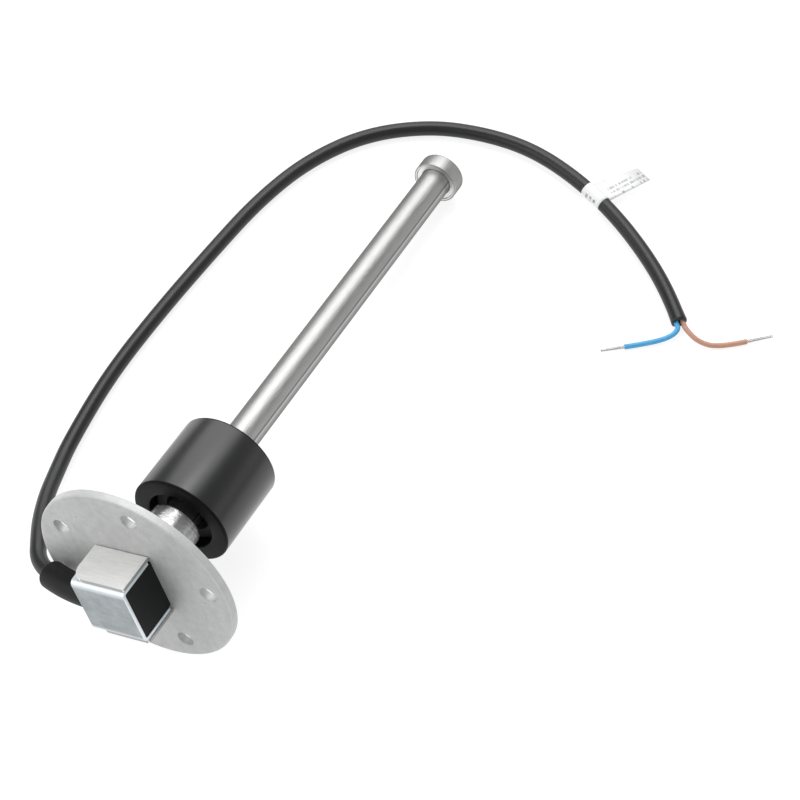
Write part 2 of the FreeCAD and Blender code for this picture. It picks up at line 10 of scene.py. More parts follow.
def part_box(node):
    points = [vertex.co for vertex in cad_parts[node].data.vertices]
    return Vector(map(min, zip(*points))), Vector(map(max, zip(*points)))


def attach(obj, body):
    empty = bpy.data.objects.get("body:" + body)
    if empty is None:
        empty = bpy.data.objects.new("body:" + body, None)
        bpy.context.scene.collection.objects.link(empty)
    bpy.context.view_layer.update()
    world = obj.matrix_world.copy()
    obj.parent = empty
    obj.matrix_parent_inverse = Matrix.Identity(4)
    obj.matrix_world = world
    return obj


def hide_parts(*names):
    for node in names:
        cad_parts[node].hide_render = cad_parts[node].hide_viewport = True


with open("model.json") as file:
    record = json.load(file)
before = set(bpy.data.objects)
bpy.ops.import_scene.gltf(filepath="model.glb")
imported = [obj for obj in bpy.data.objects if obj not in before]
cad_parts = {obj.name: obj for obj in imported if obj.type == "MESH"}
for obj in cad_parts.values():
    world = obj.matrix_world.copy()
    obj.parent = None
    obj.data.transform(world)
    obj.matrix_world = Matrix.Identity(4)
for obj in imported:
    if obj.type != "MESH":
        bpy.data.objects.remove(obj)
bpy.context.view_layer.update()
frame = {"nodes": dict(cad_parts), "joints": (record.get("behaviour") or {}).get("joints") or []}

bl_info = {
    "name": "Fuel level sender",
    "version": (1, 0, 0),
    "blender": (4, 5, 0),
    "location": "View3D > Sidebar > Sender",
    "description": "Dresses the fuel level sender's frame with its finishes, cable, label and studio",
    "category": "Object",
}

MM = 0.001
SENDER = "sender"
FLOAT = "float_body"

# The stem's own frame: Z runs down the stem to the tank, X to the head's open end.
STEM_AXIS = Vector(frame["joints"][0]["axis"]).normalized()
HEAD_ROLL = math.radians(69.33)
STEM_PITCH = math.atan2(STEM_AXIS.x, STEM_AXIS.z)
STEM = Matrix.Rotation(STEM_PITCH, 4, "Y") @ Matrix.Rotation(math.pi + HEAD_ROLL, 4, "Z")
STEM_TURN = STEM.inverted().to_euler()
STEM_UP = Vector((-STEM_AXIS.z, 0.0, STEM_AXIS.x))


def reach(node):
    """First and last place of a CAD node along the stem, in metres from the flange."""
    places = [vertex.co.dot(STEM_AXIS) for vertex in frame["nodes"][node].data.vertices]
    return min(places), max(places)


def radius_of(node):
    """Outer radius of a round CAD node about the stem, which has no slope across Y."""
    low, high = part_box(node)
    return (high.y - low.y) / 2


def stem_spots(node):
    """Corners of a CAD node's mesh in the stem's own frame."""
    return [STEM.inverted() @ vertex.co for vertex in frame["nodes"][node].data.vertices]


def hang(node):
    """Middle of a round CAD node beside the stem axis, on which the float hangs by its play."""
    heights = [vertex.co.dot(STEM_UP) for vertex in frame["nodes"][node].data.vertices]
    return STEM_UP * (min(heights) + max(heights)) / 2


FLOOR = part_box("flange")[0].z

# Cable route, in metres: x, y and height above the floor, after the straight start out of the boot.
CABLE_EXIT = Vector((-9.148, 28.429, -12.215)) * MM
CABLE_START = Vector((-7.073, 35.072, -15.012)) * MM
CABLE_ROUTE = (
    (0.0014, 0.0409, 0.0160),
    (0.0086, 0.0457, 0.0125),
    (0.0187, 0.0507, 0.0085),
    (0.0299, 0.0544, 0.0050),
    (0.0416, 0.0575, 0.0032),
    (0.0700, 0.0605, 0.0027),
    (0.1000, 0.0595, 0.0027),
    (0.1300, 0.0570, 0.0027),
    (0.1580, 0.0540, 0.0027),
    (0.1820, 0.0475, 0.0027),
    (0.2030, 0.0350, 0.0027),
    (0.2175, 0.0160, 0.0028),
    (0.2238, -0.0035, 0.0029),
    (0.2253, -0.0220, 0.0030),
    (0.2206, -0.0420, 0.0033),
    (0.2120, -0.0615, 0.0033),
    (0.2005, -0.0795, 0.0030),
    (0.1890, -0.0930, 0.0027),
    (0.1810, -0.1000, 0.0027),
)
# The label sits midway between this point of the route, counted from its end, and the one before.
LABEL_POINT = 4
# Cores from inside the sheath's end: x and y from that end, and height above the floor.
BLUE_ROUTE = (
    (0.00124, 0.00270, 0.0027),
    (-0.00076, 0.00086, 0.0028),
    (-0.00286, -0.00098, 0.0028),
    (-0.00660, 0.00050, 0.0018),
    (-0.01160, 0.00580, 0.0011),
    (-0.01700, 0.01270, 0.0010),
)
BROWN_ROUTE = (
    (0.00276, 0.00097, 0.0027),
    (0.00076, -0.00087, 0.0027),
    (-0.00135, -0.00271, 0.0027),
    (-0.00370, -0.00860, 0.0017),
    (-0.00220, -0.01560, 0.0011),
    (0.00480, -0.02320, 0.0010),
)


def on_floor(x, y, height):
    """Place at a height above the floor."""
    return Vector((x, y, FLOOR + height))


def cable_points():
    """The cable's route from the boot's mouth to the sheath's cut end."""
    return [CABLE_EXIT, CABLE_START] + [on_floor(*place) for place in CABLE_ROUTE]


def core_points(route):
    """A core's route, moved to the sheath's cut end."""
    end_x, end_y, _ = CABLE_ROUTE[-1]
    return [on_floor(end_x + x, end_y + y, height) for x, y, height in route]


class SenderSizes(bpy.types.PropertyGroup):
    """Sizes that the scene adds to the frame's."""

    cable_diameter: FloatProperty(
        name="Cable", description="Outside of the cable's sheath", default=0.0053, unit="LENGTH"
    )
    sheath_wall: FloatProperty(
        name="Sheath wall", description="Wall of the cut sheath", default=0.0007, unit="LENGTH"
    )
    wire_diameter: FloatProperty(
        name="Core", description="Outside of a core's insulation", default=0.0018, unit="LENGTH"
    )
    strand_count: IntProperty(
        name="Strands", description="Tinned strands in a core's twisted end", default=5, min=3
    )
    strand_diameter: FloatProperty(
        name="Strand", description="One tinned strand", default=0.00042, unit="LENGTH"
    )
    blue_strand_length: FloatProperty(
        name="Blue strands", description="Bare end of the blue core", default=0.0083, unit="LENGTH"
    )
    brown_strand_length: FloatProperty(
        name="Brown strands", description="Bare end of the brown core", default=0.0094, unit="LENGTH"
    )
    label_width: FloatProperty(
        name="Label width", description="Label along the cable", default=0.009, unit="LENGTH"
    )
    label_film: FloatProperty(
        name="Label film", description="Thickness of the label's film", default=0.00012, unit="LENGTH"
    )
    flag_reach: FloatProperty(
        name="Flag reach", description="Cable centre to the flag's free end", default=0.0204, unit="LENGTH"
    )
    flag_end_width: FloatProperty(
        name="Flag end", description="Width of the flag's free end", default=0.007, unit="LENGTH"
    )
    flag_skew: FloatProperty(
        name="Flag skew", description="Sideways lean of the flag's free end", default=0.003, unit="LENGTH"
    )
    bolt_circle: FloatProperty(
        name="Bolt circle", description="Pitch circle of the screw holes", default=0.054, unit="LENGTH"
    )
    bolt_hole: FloatProperty(
        name="Screw hole", description="Diameter of a screw hole", default=0.0055, unit="LENGTH"
    )
    bolt_count: IntProperty(name="Screw holes", description="Screw holes in the flange", default=5, min=2)
    tumbled_edge: FloatProperty(
        name="Tumbled edge", description="Rounding of the flange's edges", default=0.0004, unit="LENGTH"
    )
    cut_edge: FloatProperty(
        name="Cut edge", description="Rounding of cut sheet edges", default=0.00014, unit="LENGTH"
    )
    stop_wall: FloatProperty(
        name="Stop rim", description="Rim round the end stop's mouth", default=0.001, unit="LENGTH"
    )
    stop_recess: FloatProperty(
        name="Stop recess", description="Depth of the end stop's mouth", default=0.0005, unit="LENGTH"
    )
    stop_floor: FloatProperty(
        name="Stop floor", description="Floor of the end stop under the tube", default=0.0012, unit="LENGTH"
    )
    stop_round: FloatProperty(
        name="Stop round", description="Rounded edge of the end stop's floor", default=0.0007, unit="LENGTH"
    )
    float_play: FloatProperty(
        name="Float play", description="Radial room of the float on the tube", default=0.0015, unit="LENGTH"
    )
    float_round: FloatProperty(
        name="Float edge", description="Moulded rounding of the float's ends", default=0.0007, unit="LENGTH"
    )
    pocket_radius: FloatProperty(
        name="Magnet pocket", description="Radius of the magnet's pocket", default=0.0112, unit="LENGTH"
    )
    pocket_depth: FloatProperty(
        name="Pocket depth", description="Depth of the magnet's pocket", default=0.008, unit="LENGTH"
    )


class SenderColours(bpy.types.PropertyGroup):
    """Colours of the finishes."""

    flange: FloatVectorProperty(
        name="Flange", description="Blasted stainless plate", default=(0.50, 0.505, 0.505), subtype="COLOR"
    )
    tube: FloatVectorProperty(
        name="Tube", description="Drawn stainless tube", default=(0.39, 0.392, 0.385), subtype="COLOR"
    )
    turned: FloatVectorProperty(
        name="Collar and stop", description="Turned stainless", default=(0.60, 0.60, 0.595), subtype="COLOR"
    )
    bracket: FloatVectorProperty(
        name="Bracket", description="Satin stainless sheet", default=(0.94, 0.933, 0.92), subtype="COLOR"
    )
    cover: FloatVectorProperty(
        name="Cover", description="Zinc-plated sheet", default=(0.33, 0.356, 0.372), subtype="COLOR"
    )
    potting: FloatVectorProperty(
        name="Potting", description="Black resin", default=(0.004, 0.0043, 0.0047), subtype="COLOR"
    )
    boot: FloatVectorProperty(
        name="Boot", description="Black rubber boot", default=(0.008, 0.008, 0.0085), subtype="COLOR"
    )
    sheath: FloatVectorProperty(
        name="Sheath", description="Black cable sheath", default=(0.009, 0.0094, 0.0099), subtype="COLOR"
    )
    float_body: FloatVectorProperty(
        name="Float", description="Black float", default=(0.005, 0.0053, 0.0056), subtype="COLOR"
    )
    magnet: FloatVectorProperty(
        name="Magnet", description="Dark ferrite", default=(0.020, 0.019, 0.018), subtype="COLOR"
    )
    blue: FloatVectorProperty(
        name="Blue core", description="Light blue insulation", default=(0.07, 0.375, 0.68), subtype="COLOR"
    )
    brown: FloatVectorProperty(
        name="Brown core", description="Pale brown insulation", default=(0.53, 0.285, 0.20), subtype="COLOR"
    )
    tinned: FloatVectorProperty(
        name="Strands", description="Tinned copper", default=(0.56, 0.555, 0.54), subtype="COLOR"
    )
    film: FloatVectorProperty(
        name="Label", description="White label film", default=(0.82, 0.825, 0.83), subtype="COLOR"
    )
    ink: FloatVectorProperty(
        name="Print", description="Grey print on the label", default=(0.24, 0.24, 0.25), subtype="COLOR"
    )
    laminate: FloatVectorProperty(
        name="Board", description="Green board laminate", default=(0.02, 0.13, 0.05), subtype="COLOR"
    )
    glass: FloatVectorProperty(
        name="Reed glass", description="Greenish reed glass", default=(0.62, 0.80, 0.70), subtype="COLOR"
    )
    ceramic: FloatVectorProperty(
        name="Chips", description="Chip resistor body", default=(0.03, 0.03, 0.032), subtype="COLOR"
    )
    leads: FloatVectorProperty(
        name="Inner leads", description="Red lead insulation", default=(0.42, 0.03, 0.025), subtype="COLOR"
    )


class StudioSettings(bpy.types.PropertyGroup):
    """Camera, light and floor."""

    lens: FloatProperty(name="Lens", description="Focal length", default=92.25, unit="CAMERA")
    sky: FloatProperty(name="Sky", description="Brightness of the studio above", default=0.38)
    wall: FloatProperty(name="Wall", description="Brightness of the studio's pale walls", default=0.9)
    horizon: FloatProperty(name="Horizon", description="Brightness where the floor ends", default=0.28)
    key_power: FloatProperty(
        name="Key", description="Watts of the softbox behind", default=7.2, unit="POWER"
    )
    top_power: FloatProperty(
        name="Top", description="Watts of the small softbox above", default=1.3, unit="POWER"
    )
    fill_power: FloatProperty(
        name="Fill", description="Watts of the softbox on the left", default=6.0, unit="POWER"
    )
    floor_diffuse: FloatProperty(
        name="Floor", description="Lit share of the floor's white", default=0.32
    )
    floor_glow: FloatProperty(
        name="Floor glow", description="Unlit share of the floor's white", default=0.80
    )
    sheet_radius: FloatProperty(
        name="Sheet", description="White part of the floor about the object", default=0.27, unit="LENGTH"
    )


# Shader expressions

class Value:
    """A node's output; arithmetic on it adds Math nodes."""

    def __init__(self, finish, socket):
        self.finish = finish
        self.socket = socket

    def __add__(self, other):
        return self.finish.math("ADD", self, other)

    def __radd__(self, other):
        return self.finish.math("ADD", other, self)

    def __sub__(self, other):
        return self.finish.math("SUBTRACT", self, other)

    def __rsub__(self, other):
        return self.finish.math("SUBTRACT", other, self)

    def __mul__(self, other):
        return self.finish.math("MULTIPLY", self, other)

    def __rmul__(self, other):
        return self.finish.math("MULTIPLY", other, self)

    def __truediv__(self, other):
        return self.finish.math("DIVIDE", self, other)

    def __rtruediv__(self, other):
        return self.finish.math("DIVIDE", other, self)

    def __gt__(self, other):
        return self.finish.math("GREATER_THAN", self, other)

    def __lt__(self, other):
        return self.finish.math("LESS_THAN", self, other)

    def __abs__(self):
        return self.finish.math("ABSOLUTE", self, 0.0)


class Finish:
    """Node tree of a material or the world, with the nodes that the finishes share."""

    def __init__(self, owner):
        owner.use_nodes = True
        self.owner = owner
        self.tree = owner.node_tree
        self.tree.nodes.clear()

    def node(self, kind, settings=None, inputs=None, output=0):
        """Add a node: its settings first, then the values or links of its inputs."""
        made = self.tree.nodes.new(kind)
        for name, setting in (settings or {}).items():
            if name == "stops":
                self.set_stops(made.color_ramp, setting)
            else:
                setattr(made, name, setting)
        for key, given in (inputs or {}).items():
            socket = self.find(made.inputs, key)
            if isinstance(given, Value):
                self.tree.links.new(given.socket, socket)
            else:
                socket.default_value = given
        return Value(self, self.find(made.outputs, output)) if made.outputs else None

    @staticmethod
    def find(sockets, key):
        """A socket by its number, identifier or name."""
        if isinstance(key, int):
            return sockets[key]
        return next(socket for socket in sockets if key in (socket.identifier, socket.name))

    @staticmethod
    def set_stops(ramp, stops):
        """Give a colour ramp its grey stops, as pairs of place and level."""
        while len(ramp.elements) < len(stops):
            ramp.elements.new(1.0)
        for element, (place, level) in zip(ramp.elements, stops):
            element.position = place
            element.color = (level, level, level, 1.0)

    def math(self, operation, first, second):
        """Math node on values or numbers."""
        return self.node("ShaderNodeMath", {"operation": operation}, {0: first, 1: second})

    def place(self, turn=(0.0, 0.0, 0.0), stretch=(1.0, 1.0, 1.0)):
        """Object coordinates, turned and then stretched."""
        place = self.node("ShaderNodeTexCoord", output="Object")
        turned = self.node("ShaderNodeMapping", None, {"Vector": place, "Rotation": turn})
        if tuple(stretch) == (1.0, 1.0, 1.0):
            return turned
        return self.node("ShaderNodeMapping", None, {"Vector": turned, "Scale": stretch})

    def along(self, vector, axis):
        """One coordinate of a vector."""
        return self.node("ShaderNodeSeparateXYZ", None, {"Vector": vector}, axis)

    def around(self, vector):
        """Distance from the Z axis."""
        flat = self.node("ShaderNodeVectorMath", {"operation": "MULTIPLY"}, {0: vector, 1: (1.0, 1.0, 0.0)})
        return self.node("ShaderNodeVectorMath", {"operation": "LENGTH"}, {0: flat}, "Value")

    def noise(self, vector, scale, detail=2.0, rough=0.5):
        """Cloudy noise; scale is its number of waves in a metre."""
        inputs = {"Vector": vector, "Scale": scale, "Detail": detail, "Roughness": rough}
        return self.node("ShaderNodeTexNoise", None, inputs, "Fac")

    def cells(self, vector, scale):
        """Distance from the middles of scattered cells."""
        return self.node("ShaderNodeTexVoronoi", None, {"Vector": vector, "Scale": scale}, "Distance")

    def ramp(self, value, *stops):
        """Grey levels at places from 0 to 1."""
        return self.node("ShaderNodeValToRGB", {"stops": stops}, {"Fac": value})

    def blend(self, mask, first, second):
        """Colour that goes from first to second with the mask."""
        inputs = {"Factor_Float": mask, "A_Color": first, "B_Color": second}
        return self.node("ShaderNodeMix", {"data_type": "RGBA"}, inputs, "Result_Color")

    def tones(self, mask, colour, low, high):
        """Shades of one colour that go from low to high with the mask."""
        return self.blend(mask, shade(colour, low), shade(colour, high))

    def bump(self, height, depth, strength=1.0):
        """Normal of a surface with fine relief of a depth in metres."""
        inputs = {"Height": height, "Distance": depth, "Strength": strength}
        return self.node("ShaderNodeBump", None, inputs, "Normal")

    def principled(self, **inputs):
        """Principled surface, with names such as base_color for Base Color."""
        named = {}
        for key, given in inputs.items():
            named[key.replace("_", " ").title().replace("Ior", "IOR")] = given
        surface = self.node("ShaderNodeBsdfPrincipled", None, named)
        self.node("ShaderNodeOutputMaterial", None, {"Surface": surface})
        return self.owner


def new_finish(name):
    """Finish of a new material."""
    return Finish(bpy.data.materials.new(name))


def shade(colour, level):
    """A colour, lighter or darker, with the alpha that sockets want."""
    return (*(min(1.0, channel * level) for channel in colour), 1.0)


# Finishes

def blasted_steel(colour):
    """Tumbled stainless: fine grain, cloudy patches, small nicks and a paler rim."""
    made = new_finish("blasted_steel")
    place = made.place(STEM_TURN)
    grain = made.noise(place, 2400.0, 3.0, 0.6)
    patch = made.noise(place, 70.0, 4.0, 0.55)
    mottle = made.noise(place, 330.0, 3.0, 0.6)
    nicks = made.ramp(made.noise(made.place(STEM_TURN, (1.0, 0.18, 1.0)), 900.0), (0.66, 0.0), (0.74, 1.0))
    specks = made.ramp(made.noise(place, 1300.0, 1.0), (0.68, 0.0), (0.76, 1.0))
    rim = made.ramp(made.around(place) / radius_of("flange"), (0.975, 0.0), (0.99, 1.0))
    cloud = 0.35 * patch + 0.4 * mottle + 0.25 * grain
    tone = made.tones(made.ramp(cloud, (0.3, 0.0), (0.7, 1.0)), colour, 0.82, 1.18)
    dark = made.blend(0.45 * specks, tone, shade(colour, 0.4))
    pale = made.blend(0.25 * rim + 0.22 * nicks, dark, shade(colour, 1.55))
    return made.principled(
        base_color=pale,
        metallic=0.3,
        roughness=0.46 + 0.14 * patch + 0.06 * grain,
        normal=made.bump(grain + 0.6 * nicks, 0.02 * MM, 0.55),
    )


def grooved_steel(name, colour, rough, stretch, groove, mirrored_shadow_lines=False, bore=None):
    """Drawn or turned stainless: fine grooves along or round the stem smear what it mirrors.

    A painted reflection can be drawn: a dark line and a bright line along the tube, on the side of the
    head's open end, that stand in for the floor's shadow mirrored in the tube.
    Bore is the radius of the mouth and how far it goes along the stem; its inside gets a painted brightness
    that stands in for light its shaded hollow lacks.
    """
    made = new_finish(name)
    grain = made.place(STEM_TURN, stretch)
    grooves = made.noise(grain, 12000.0, 0.0)
    lines = made.noise(grain, 2600.0, 2.0, 0.6)
    place = made.place(STEM_TURN)
    cloud = made.noise(place, 55.0, 3.0)
    tone = made.tones(0.6 * lines + 0.4 * cloud, colour, 0.84, 1.16)
    # Painted reflection: a dark line and a bright line stand in for the floor's shadow mirrored in the
    # tube.
    if mirrored_shadow_lines:
        front = made.along(place, "X") > 0.0
        across = made.along(place, "Y")
        for offset, level in ((-0.64 * MM, 0.5), (0.2 * MM, 1.35)):
            line = made.ramp(abs(across - offset) / MM, (0.15, 1.0), (0.4, 0.0))
            tone = made.blend(front * line, tone, shade(colour, level))
    # Painted light: the mouth's shaded inside is lightened.
    if bore:
        radius, deepest = bore
        inside = (made.around(place) < radius) * (made.along(place, "Z") < deepest)
        tone = made.blend(inside, tone, shade(colour, 2.2))
    return made.principled(
        base_color=tone,
        metallic=1.0,
        roughness=rough - 0.05 + 0.06 * lines + 0.06 * cloud,
        specular_tint=(0.35, 0.35, 0.36, 1.0),
        normal=made.bump(grooves, groove),
    )


def rolled_sheet(name, colour, rough, mottle, metal, painted_highlight_reach=None, cut=None):
    """Rolled sheet: faint straight grain with a plated or handled cloudiness.

    The reach of a folded sheet to its open end and to its bends marks a painted highlight on the bends and
    on the open end, whose cut edge is bright itself and carries the painted highlight too.
    Cut is where the tabs' cut edges lie, along the base and along the stem; these edges get a painted
    shade.
    """
    made = new_finish(name)
    place = made.place(STEM_TURN)
    grain = made.noise(made.place(STEM_TURN, (0.12, 1.0, 1.0)), 1500.0, 3.0, 0.6)
    cloud = made.noise(place, 260.0, 4.0, 0.6)
    mixed = made.ramp((1 - mottle) * grain + mottle * cloud, (0.36, 0.0), (0.64, 1.0))
    spread = 0.22 * mottle
    tone = made.tones(mixed, colour, 1 - spread, 1 + spread)
    worn = 0.0
    if painted_highlight_reach:
        open_end, outside = painted_highlight_reach
        # Painted highlight: the bends are lightened in place of the lamp's highlight on them, and the open
        # end's cut edge, bright itself, carries one too.
        end = made.ramp(made.along(place, "X") / open_end, (0.97, 0.0), (0.985, 1.0))
        bends = made.ramp(abs(made.along(place, "Y")) / outside, (0.76, 0.0), (0.93, 1.0))
        tone = made.blend(made.math("MAXIMUM", end, bends), tone, shade(colour, 2.4))
        worn = 0.12 * bends
    # Painted shade: the tabs' cut edges are darkened as if in shade.
    if cut:
        shaded_edge_width = 0.15 * MM
        base_end, tab_end = cut
        front = made.along(place, "X") > base_end - shaded_edge_width
        top = made.along(place, "Z") < tab_end + shaded_edge_width
        tone = made.blend(made.math("MAXIMUM", front, top), tone, shade(colour, 0.4))
    return made.principled(
        base_color=tone,
        metallic=metal,
        roughness=rough - 0.06 + 0.08 * grain + 0.08 * cloud + worn,
        normal=made.bump(grain + cloud, 0.01 * MM, 0.4),
    )


def black_rubber(name, colour, rough, grain_size, specular=0.5, skin=None):
    """Black moulded rubber or sheath: fine pores, soft scuffs and a little dust.

    Skin is the start and end along the stem, and the least radius, of a glossier moulded skin.
    """
    made = new_finish(name)
    place = made.place()
    pores = made.noise(place, 1.0 / grain_size, 3.0, 0.6)
    scuff = made.noise(place, 95.0, 4.0, 0.6)
    dust = made.ramp(made.noise(place, 1500.0, 2.0), (0.70, 0.0), (0.80, 1.0))
    tone = made.tones(0.5 * scuff + 0.5 * pores, colour, 0.75, 1.35)
    pale_dust = (0.35, 0.35, 0.34, 1.0)
    dusty = made.blend(0.10 * dust, tone, pale_dust)
    gloss = {}
    if skin:
        start, end, least_radius = skin
        stem_place = made.place(STEM_TURN)
        along = made.along(stem_place, "Z")
        outside = made.around(stem_place) > least_radius
        gloss["coat_weight"] = (along > start) * (along < end) * outside
        gloss["coat_roughness"] = 0.85 * rough
    return made.principled(
        **gloss,
        base_color=dusty,
        roughness=rough - 0.06 + 0.12 * scuff + 0.04 * pores,
        specular_ior_level=specular,
        normal=made.bump(pores, 0.012 * MM, 0.5),
    )


def insulation(name, colour):
    """Glossy core insulation with a faint draw grain."""
    made = new_finish(name)
    place = made.place()
    cloud = made.noise(place, 350.0, 3.0)
    grain = made.noise(place, 3500.0, 2.0)
    return made.principled(
        base_color=made.tones(0.6 * cloud + 0.4 * grain, colour, 0.86, 1.14),
        roughness=0.36 + 0.12 * cloud,
        normal=made.bump(grain, 0.008 * MM, 0.4),
    )


def potting_resin(colour):
    """Cast black resin with a slightly wavy skin and a few specks."""
    made = new_finish("potting_resin")
    place = made.place()
    wave = made.noise(place, 160.0, 3.0)
    specks = made.ramp(made.cells(place, 700.0), (0.05, 1.0), (0.12, 0.0))
    pale_speck = (0.25, 0.25, 0.25, 1.0)
    tone = made.blend(0.05 * specks, shade(colour, 1.3), pale_speck)
    return made.principled(
        base_color=made.blend(wave, shade(colour, 0.8), tone),
        roughness=0.34 + 0.14 * wave,
        specular_ior_level=0.18,
        normal=made.bump(wave, 0.05 * MM, 0.35),
    )


def ferrite(colour):
    """Pressed ferrite: dull, grainy and dark."""
    made = new_finish("ferrite")
    grain = made.noise(made.place(), 2200.0, 4.0, 0.7)
    return made.principled(
        base_color=made.tones(grain, colour, 0.6, 1.7),
        roughness=0.62 + 0.14 * grain,
        normal=made.bump(grain, 0.03 * MM, 0.5),
    )


def tinned_copper(colour):
    """Tinned strands: bright, with duller patches where the copper shows through."""
    made = new_finish("tinned_copper")
    patch = made.noise(made.place(), 900.0, 3.0)
    worn = made.ramp(patch, (0.58, 0.0), (0.75, 0.35))
    tin = made.tones(patch, colour, 0.75, 1.2)
    copper = (0.62, 0.40, 0.28, 1.0)
    return made.principled(
        base_color=made.blend(worn, tin, copper),
        metallic=1.0,
        roughness=0.16 + 0.16 * patch,
    )


def label_film(colour, ink):
    """White film with plain grey print: broken rows along the flag and short blocks on the wrap."""
    made = new_finish("label_film")
    sheet = made.node("ShaderNodeUVMap", {"uv_map": "film"}, output="UV")
    run = made.along(sheet, "X")
    flag_end = 17 * MM
    lean = 0.8 * MM + 0.075 * run
    row_pitch = 1.9 * MM
    rows = (made.along(sheet, "Y") + (run < flag_end) * lean) / row_pitch
    row = made.math("FLOOR", rows + 0.5, 0.0)
    in_row = abs(rows - row) < 0.27
    three_rows = abs(row) < 1.5
    row_shift = 13 * MM
    spots = made.node("ShaderNodeCombineXYZ", None, {"X": run, "Y": row * row_shift, "Z": 0.0})
    dashes = made.noise(spots, 1500.0, 1.0) > 0.48
    words = made.noise(spots, 330.0, 0.0) > 0.36
    on_flag = (run > 0.5 * MM) * (run < 15 * MM) * words
    on_wrap = (run > 24.5 * MM) * (run < 29.5 * MM)
    print_mask = in_row * three_rows * dashes * (0.62 * on_flag + 0.9 * on_wrap)
    soft = made.noise(made.place(), 420.0, 3.0)
    paper = made.tones(soft, colour, 0.95, 1.04)
    return made.principled(
        base_color=made.blend(print_mask, paper, shade(ink, 1.0)),
        roughness=0.34 + 0.12 * soft,
        normal=made.bump(soft, 0.02 * MM, 0.3),
    )


def board_laminate(colour):
    """Green laminate with woven glass showing faintly."""
    made = new_finish("board_laminate")
    weave = made.noise(made.place(STEM_TURN, (1.0, 1.0, 0.3)), 2500.0, 1.0)
    cloud = made.noise(made.place(STEM_TURN), 120.0)
    return made.principled(
        base_color=made.tones(0.6 * weave + 0.4 * cloud, colour, 0.7, 1.4),
        roughness=0.42 + 0.1 * weave,
        normal=made.bump(weave, 0.01 * MM, 0.4),
    )


def reed_glass(colour):
    """Clear greenish capsules with a slightly uneven skin."""
    made = new_finish("reed_glass")
    cloud = made.noise(made.place(), 500.0, 3.0)
    return made.principled(
        base_color=made.tones(cloud, colour, 0.9, 1.1),
        roughness=0.06 + 0.06 * cloud,
        transmission_weight=0.8,
        ior=1.5,
    )


# Paths and meshes

# Edges that fold by more than these angles stay sharp.
CORD_CREASE = math.radians(50)
TURNED_CREASE = math.radians(40)
SHEET_CREASE = math.radians(60)


class Path:
    """Smooth centre line, read from a NURBS spline with the route's points as its controls."""

    SAMPLES = 12

    def __init__(self, controls):
        curve = bpy.data.curves.new("route", "CURVE")
        curve.dimensions = "3D"
        spline = curve.splines.new("NURBS")
        spline.points.add(len(controls) - 1)
        for point, place in zip(spline.points, controls):
            point.co = (*place, 1.0)
        spline.order_u = 3
        spline.use_endpoint_u = True
        spline.resolution_u = self.SAMPLES
        holder = bpy.data.objects.new("route", curve)
        mesh = bpy.data.meshes.new_from_object(holder)
        self.points = [vertex.co.copy() for vertex in mesh.vertices]
        bpy.data.meshes.remove(mesh)
        bpy.data.curves.remove(curve)
        self.marks = [0.0]
        for before, after in zip(self.points, self.points[1:]):
            self.marks.append(self.marks[-1] + (after - before).length)
        self.length = self.marks[-1]
        self.set_sides()

    def set_sides(self):
        """Sideways direction at each point, carried along without twist."""
        count = len(self.points)
        self.ways = []
        for index in range(count):
            before = self.points[max(index - 1, 0)]
            after = self.points[min(index + 1, count - 1)]
            self.ways.append((after - before).normalized())
        side = self.ways[0].cross(Vector((0.0, 0.0, 1.0))).normalized()
        self.sides = []
        for way in self.ways:
            side = (side - way * side.dot(way)).normalized()
            self.sides.append(side)

    def at(self, distance):
        """Point, way and side at a distance from the start."""
        last = len(self.points) - 2
        index = 0
        while index < last and self.marks[index + 1] < distance:
            index += 1
        share = (distance - self.marks[index]) / (self.marks[index + 1] - self.marks[index])
        point = self.points[index].lerp(self.points[index + 1], share)
        blend = min(max(share, 0.0), 1.0)
        way = self.ways[index].lerp(self.ways[index + 1], blend).normalized()
        side = self.sides[index].lerp(self.sides[index + 1], blend)
        side = (side - way * side.dot(way)).normalized()
        return point, way, side

    def nearest(self, place):
        """Distance along the line of its point nearest to a place."""
        index = min(range(len(self.points)), key=lambda number: (self.points[number] - place).length)
        return self.marks[index]


def new_piece(name, mesh, finish, body, slot, *nodes):
    """Object for a finished mesh, riding on a body in place of CAD nodes."""
    mesh.name = name
    mesh.materials.clear()
    mesh.materials.append(finish)
    piece = bpy.data.objects.new(name, mesh)
    bpy.context.scene.collection.objects.link(piece)
    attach(piece, body)
    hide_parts(*nodes)
    return piece


def dress_node(node, finish):
    """Give a CAD node's own mesh a finish."""
    materials = frame["nodes"][node].data.materials
    materials.clear()
    materials.append(finish)


def finished_mesh(build, smooth_below=None):
    """Plain mesh from a bmesh, with outward faces; edges above the angle stay sharp."""
    bmesh.ops.recalc_face_normals(build, faces=build.faces)
    mesh = bpy.data.meshes.new("piece")
    build.to_mesh(mesh)
    build.free()
    mesh.polygons.foreach_set("use_smooth", [True] * len(mesh.polygons))
    if smooth_below:
        mesh.set_sharp_from_angle(angle=smooth_below)
    return mesh


def ring(build, centre, side, up, radius, count):
    """Ring of points about a centre."""
    points = []
    for number in range(count):
        turn = 2 * math.pi * number / count
        points.append(build.verts.new(centre + (side * math.cos(turn) + up * math.sin(turn)) * radius))
    return points


def bridge(build, first, second):
    """Faces between two rings."""
    count = len(first)
    for number in range(count):
        after = (number + 1) % count
        build.faces.new((first[number], first[after], second[after], second[number]))


def tube(path, stations, count=40):
    """Closed tube along a path; each station is a distance along it and a radius."""
    build = bmesh.new()
    rings = []
    for distance, radius in stations:
        centre, way, side = path.at(distance)
        rings.append(ring(build, centre, side, way.cross(side), radius, count))
    for first, second in zip(rings, rings[1:]):
        bridge(build, first, second)
    build.faces.new(rings[0])
    build.faces.new(rings[-1])
    return finished_mesh(build, CORD_CREASE)


def even_stations(start, end, step, radius):
    """Stations of one radius from start to end, at most a step apart."""
    count = max(2, math.ceil((end - start) / step))
    return [(start + (end - start) * number / count, radius) for number in range(count + 1)]


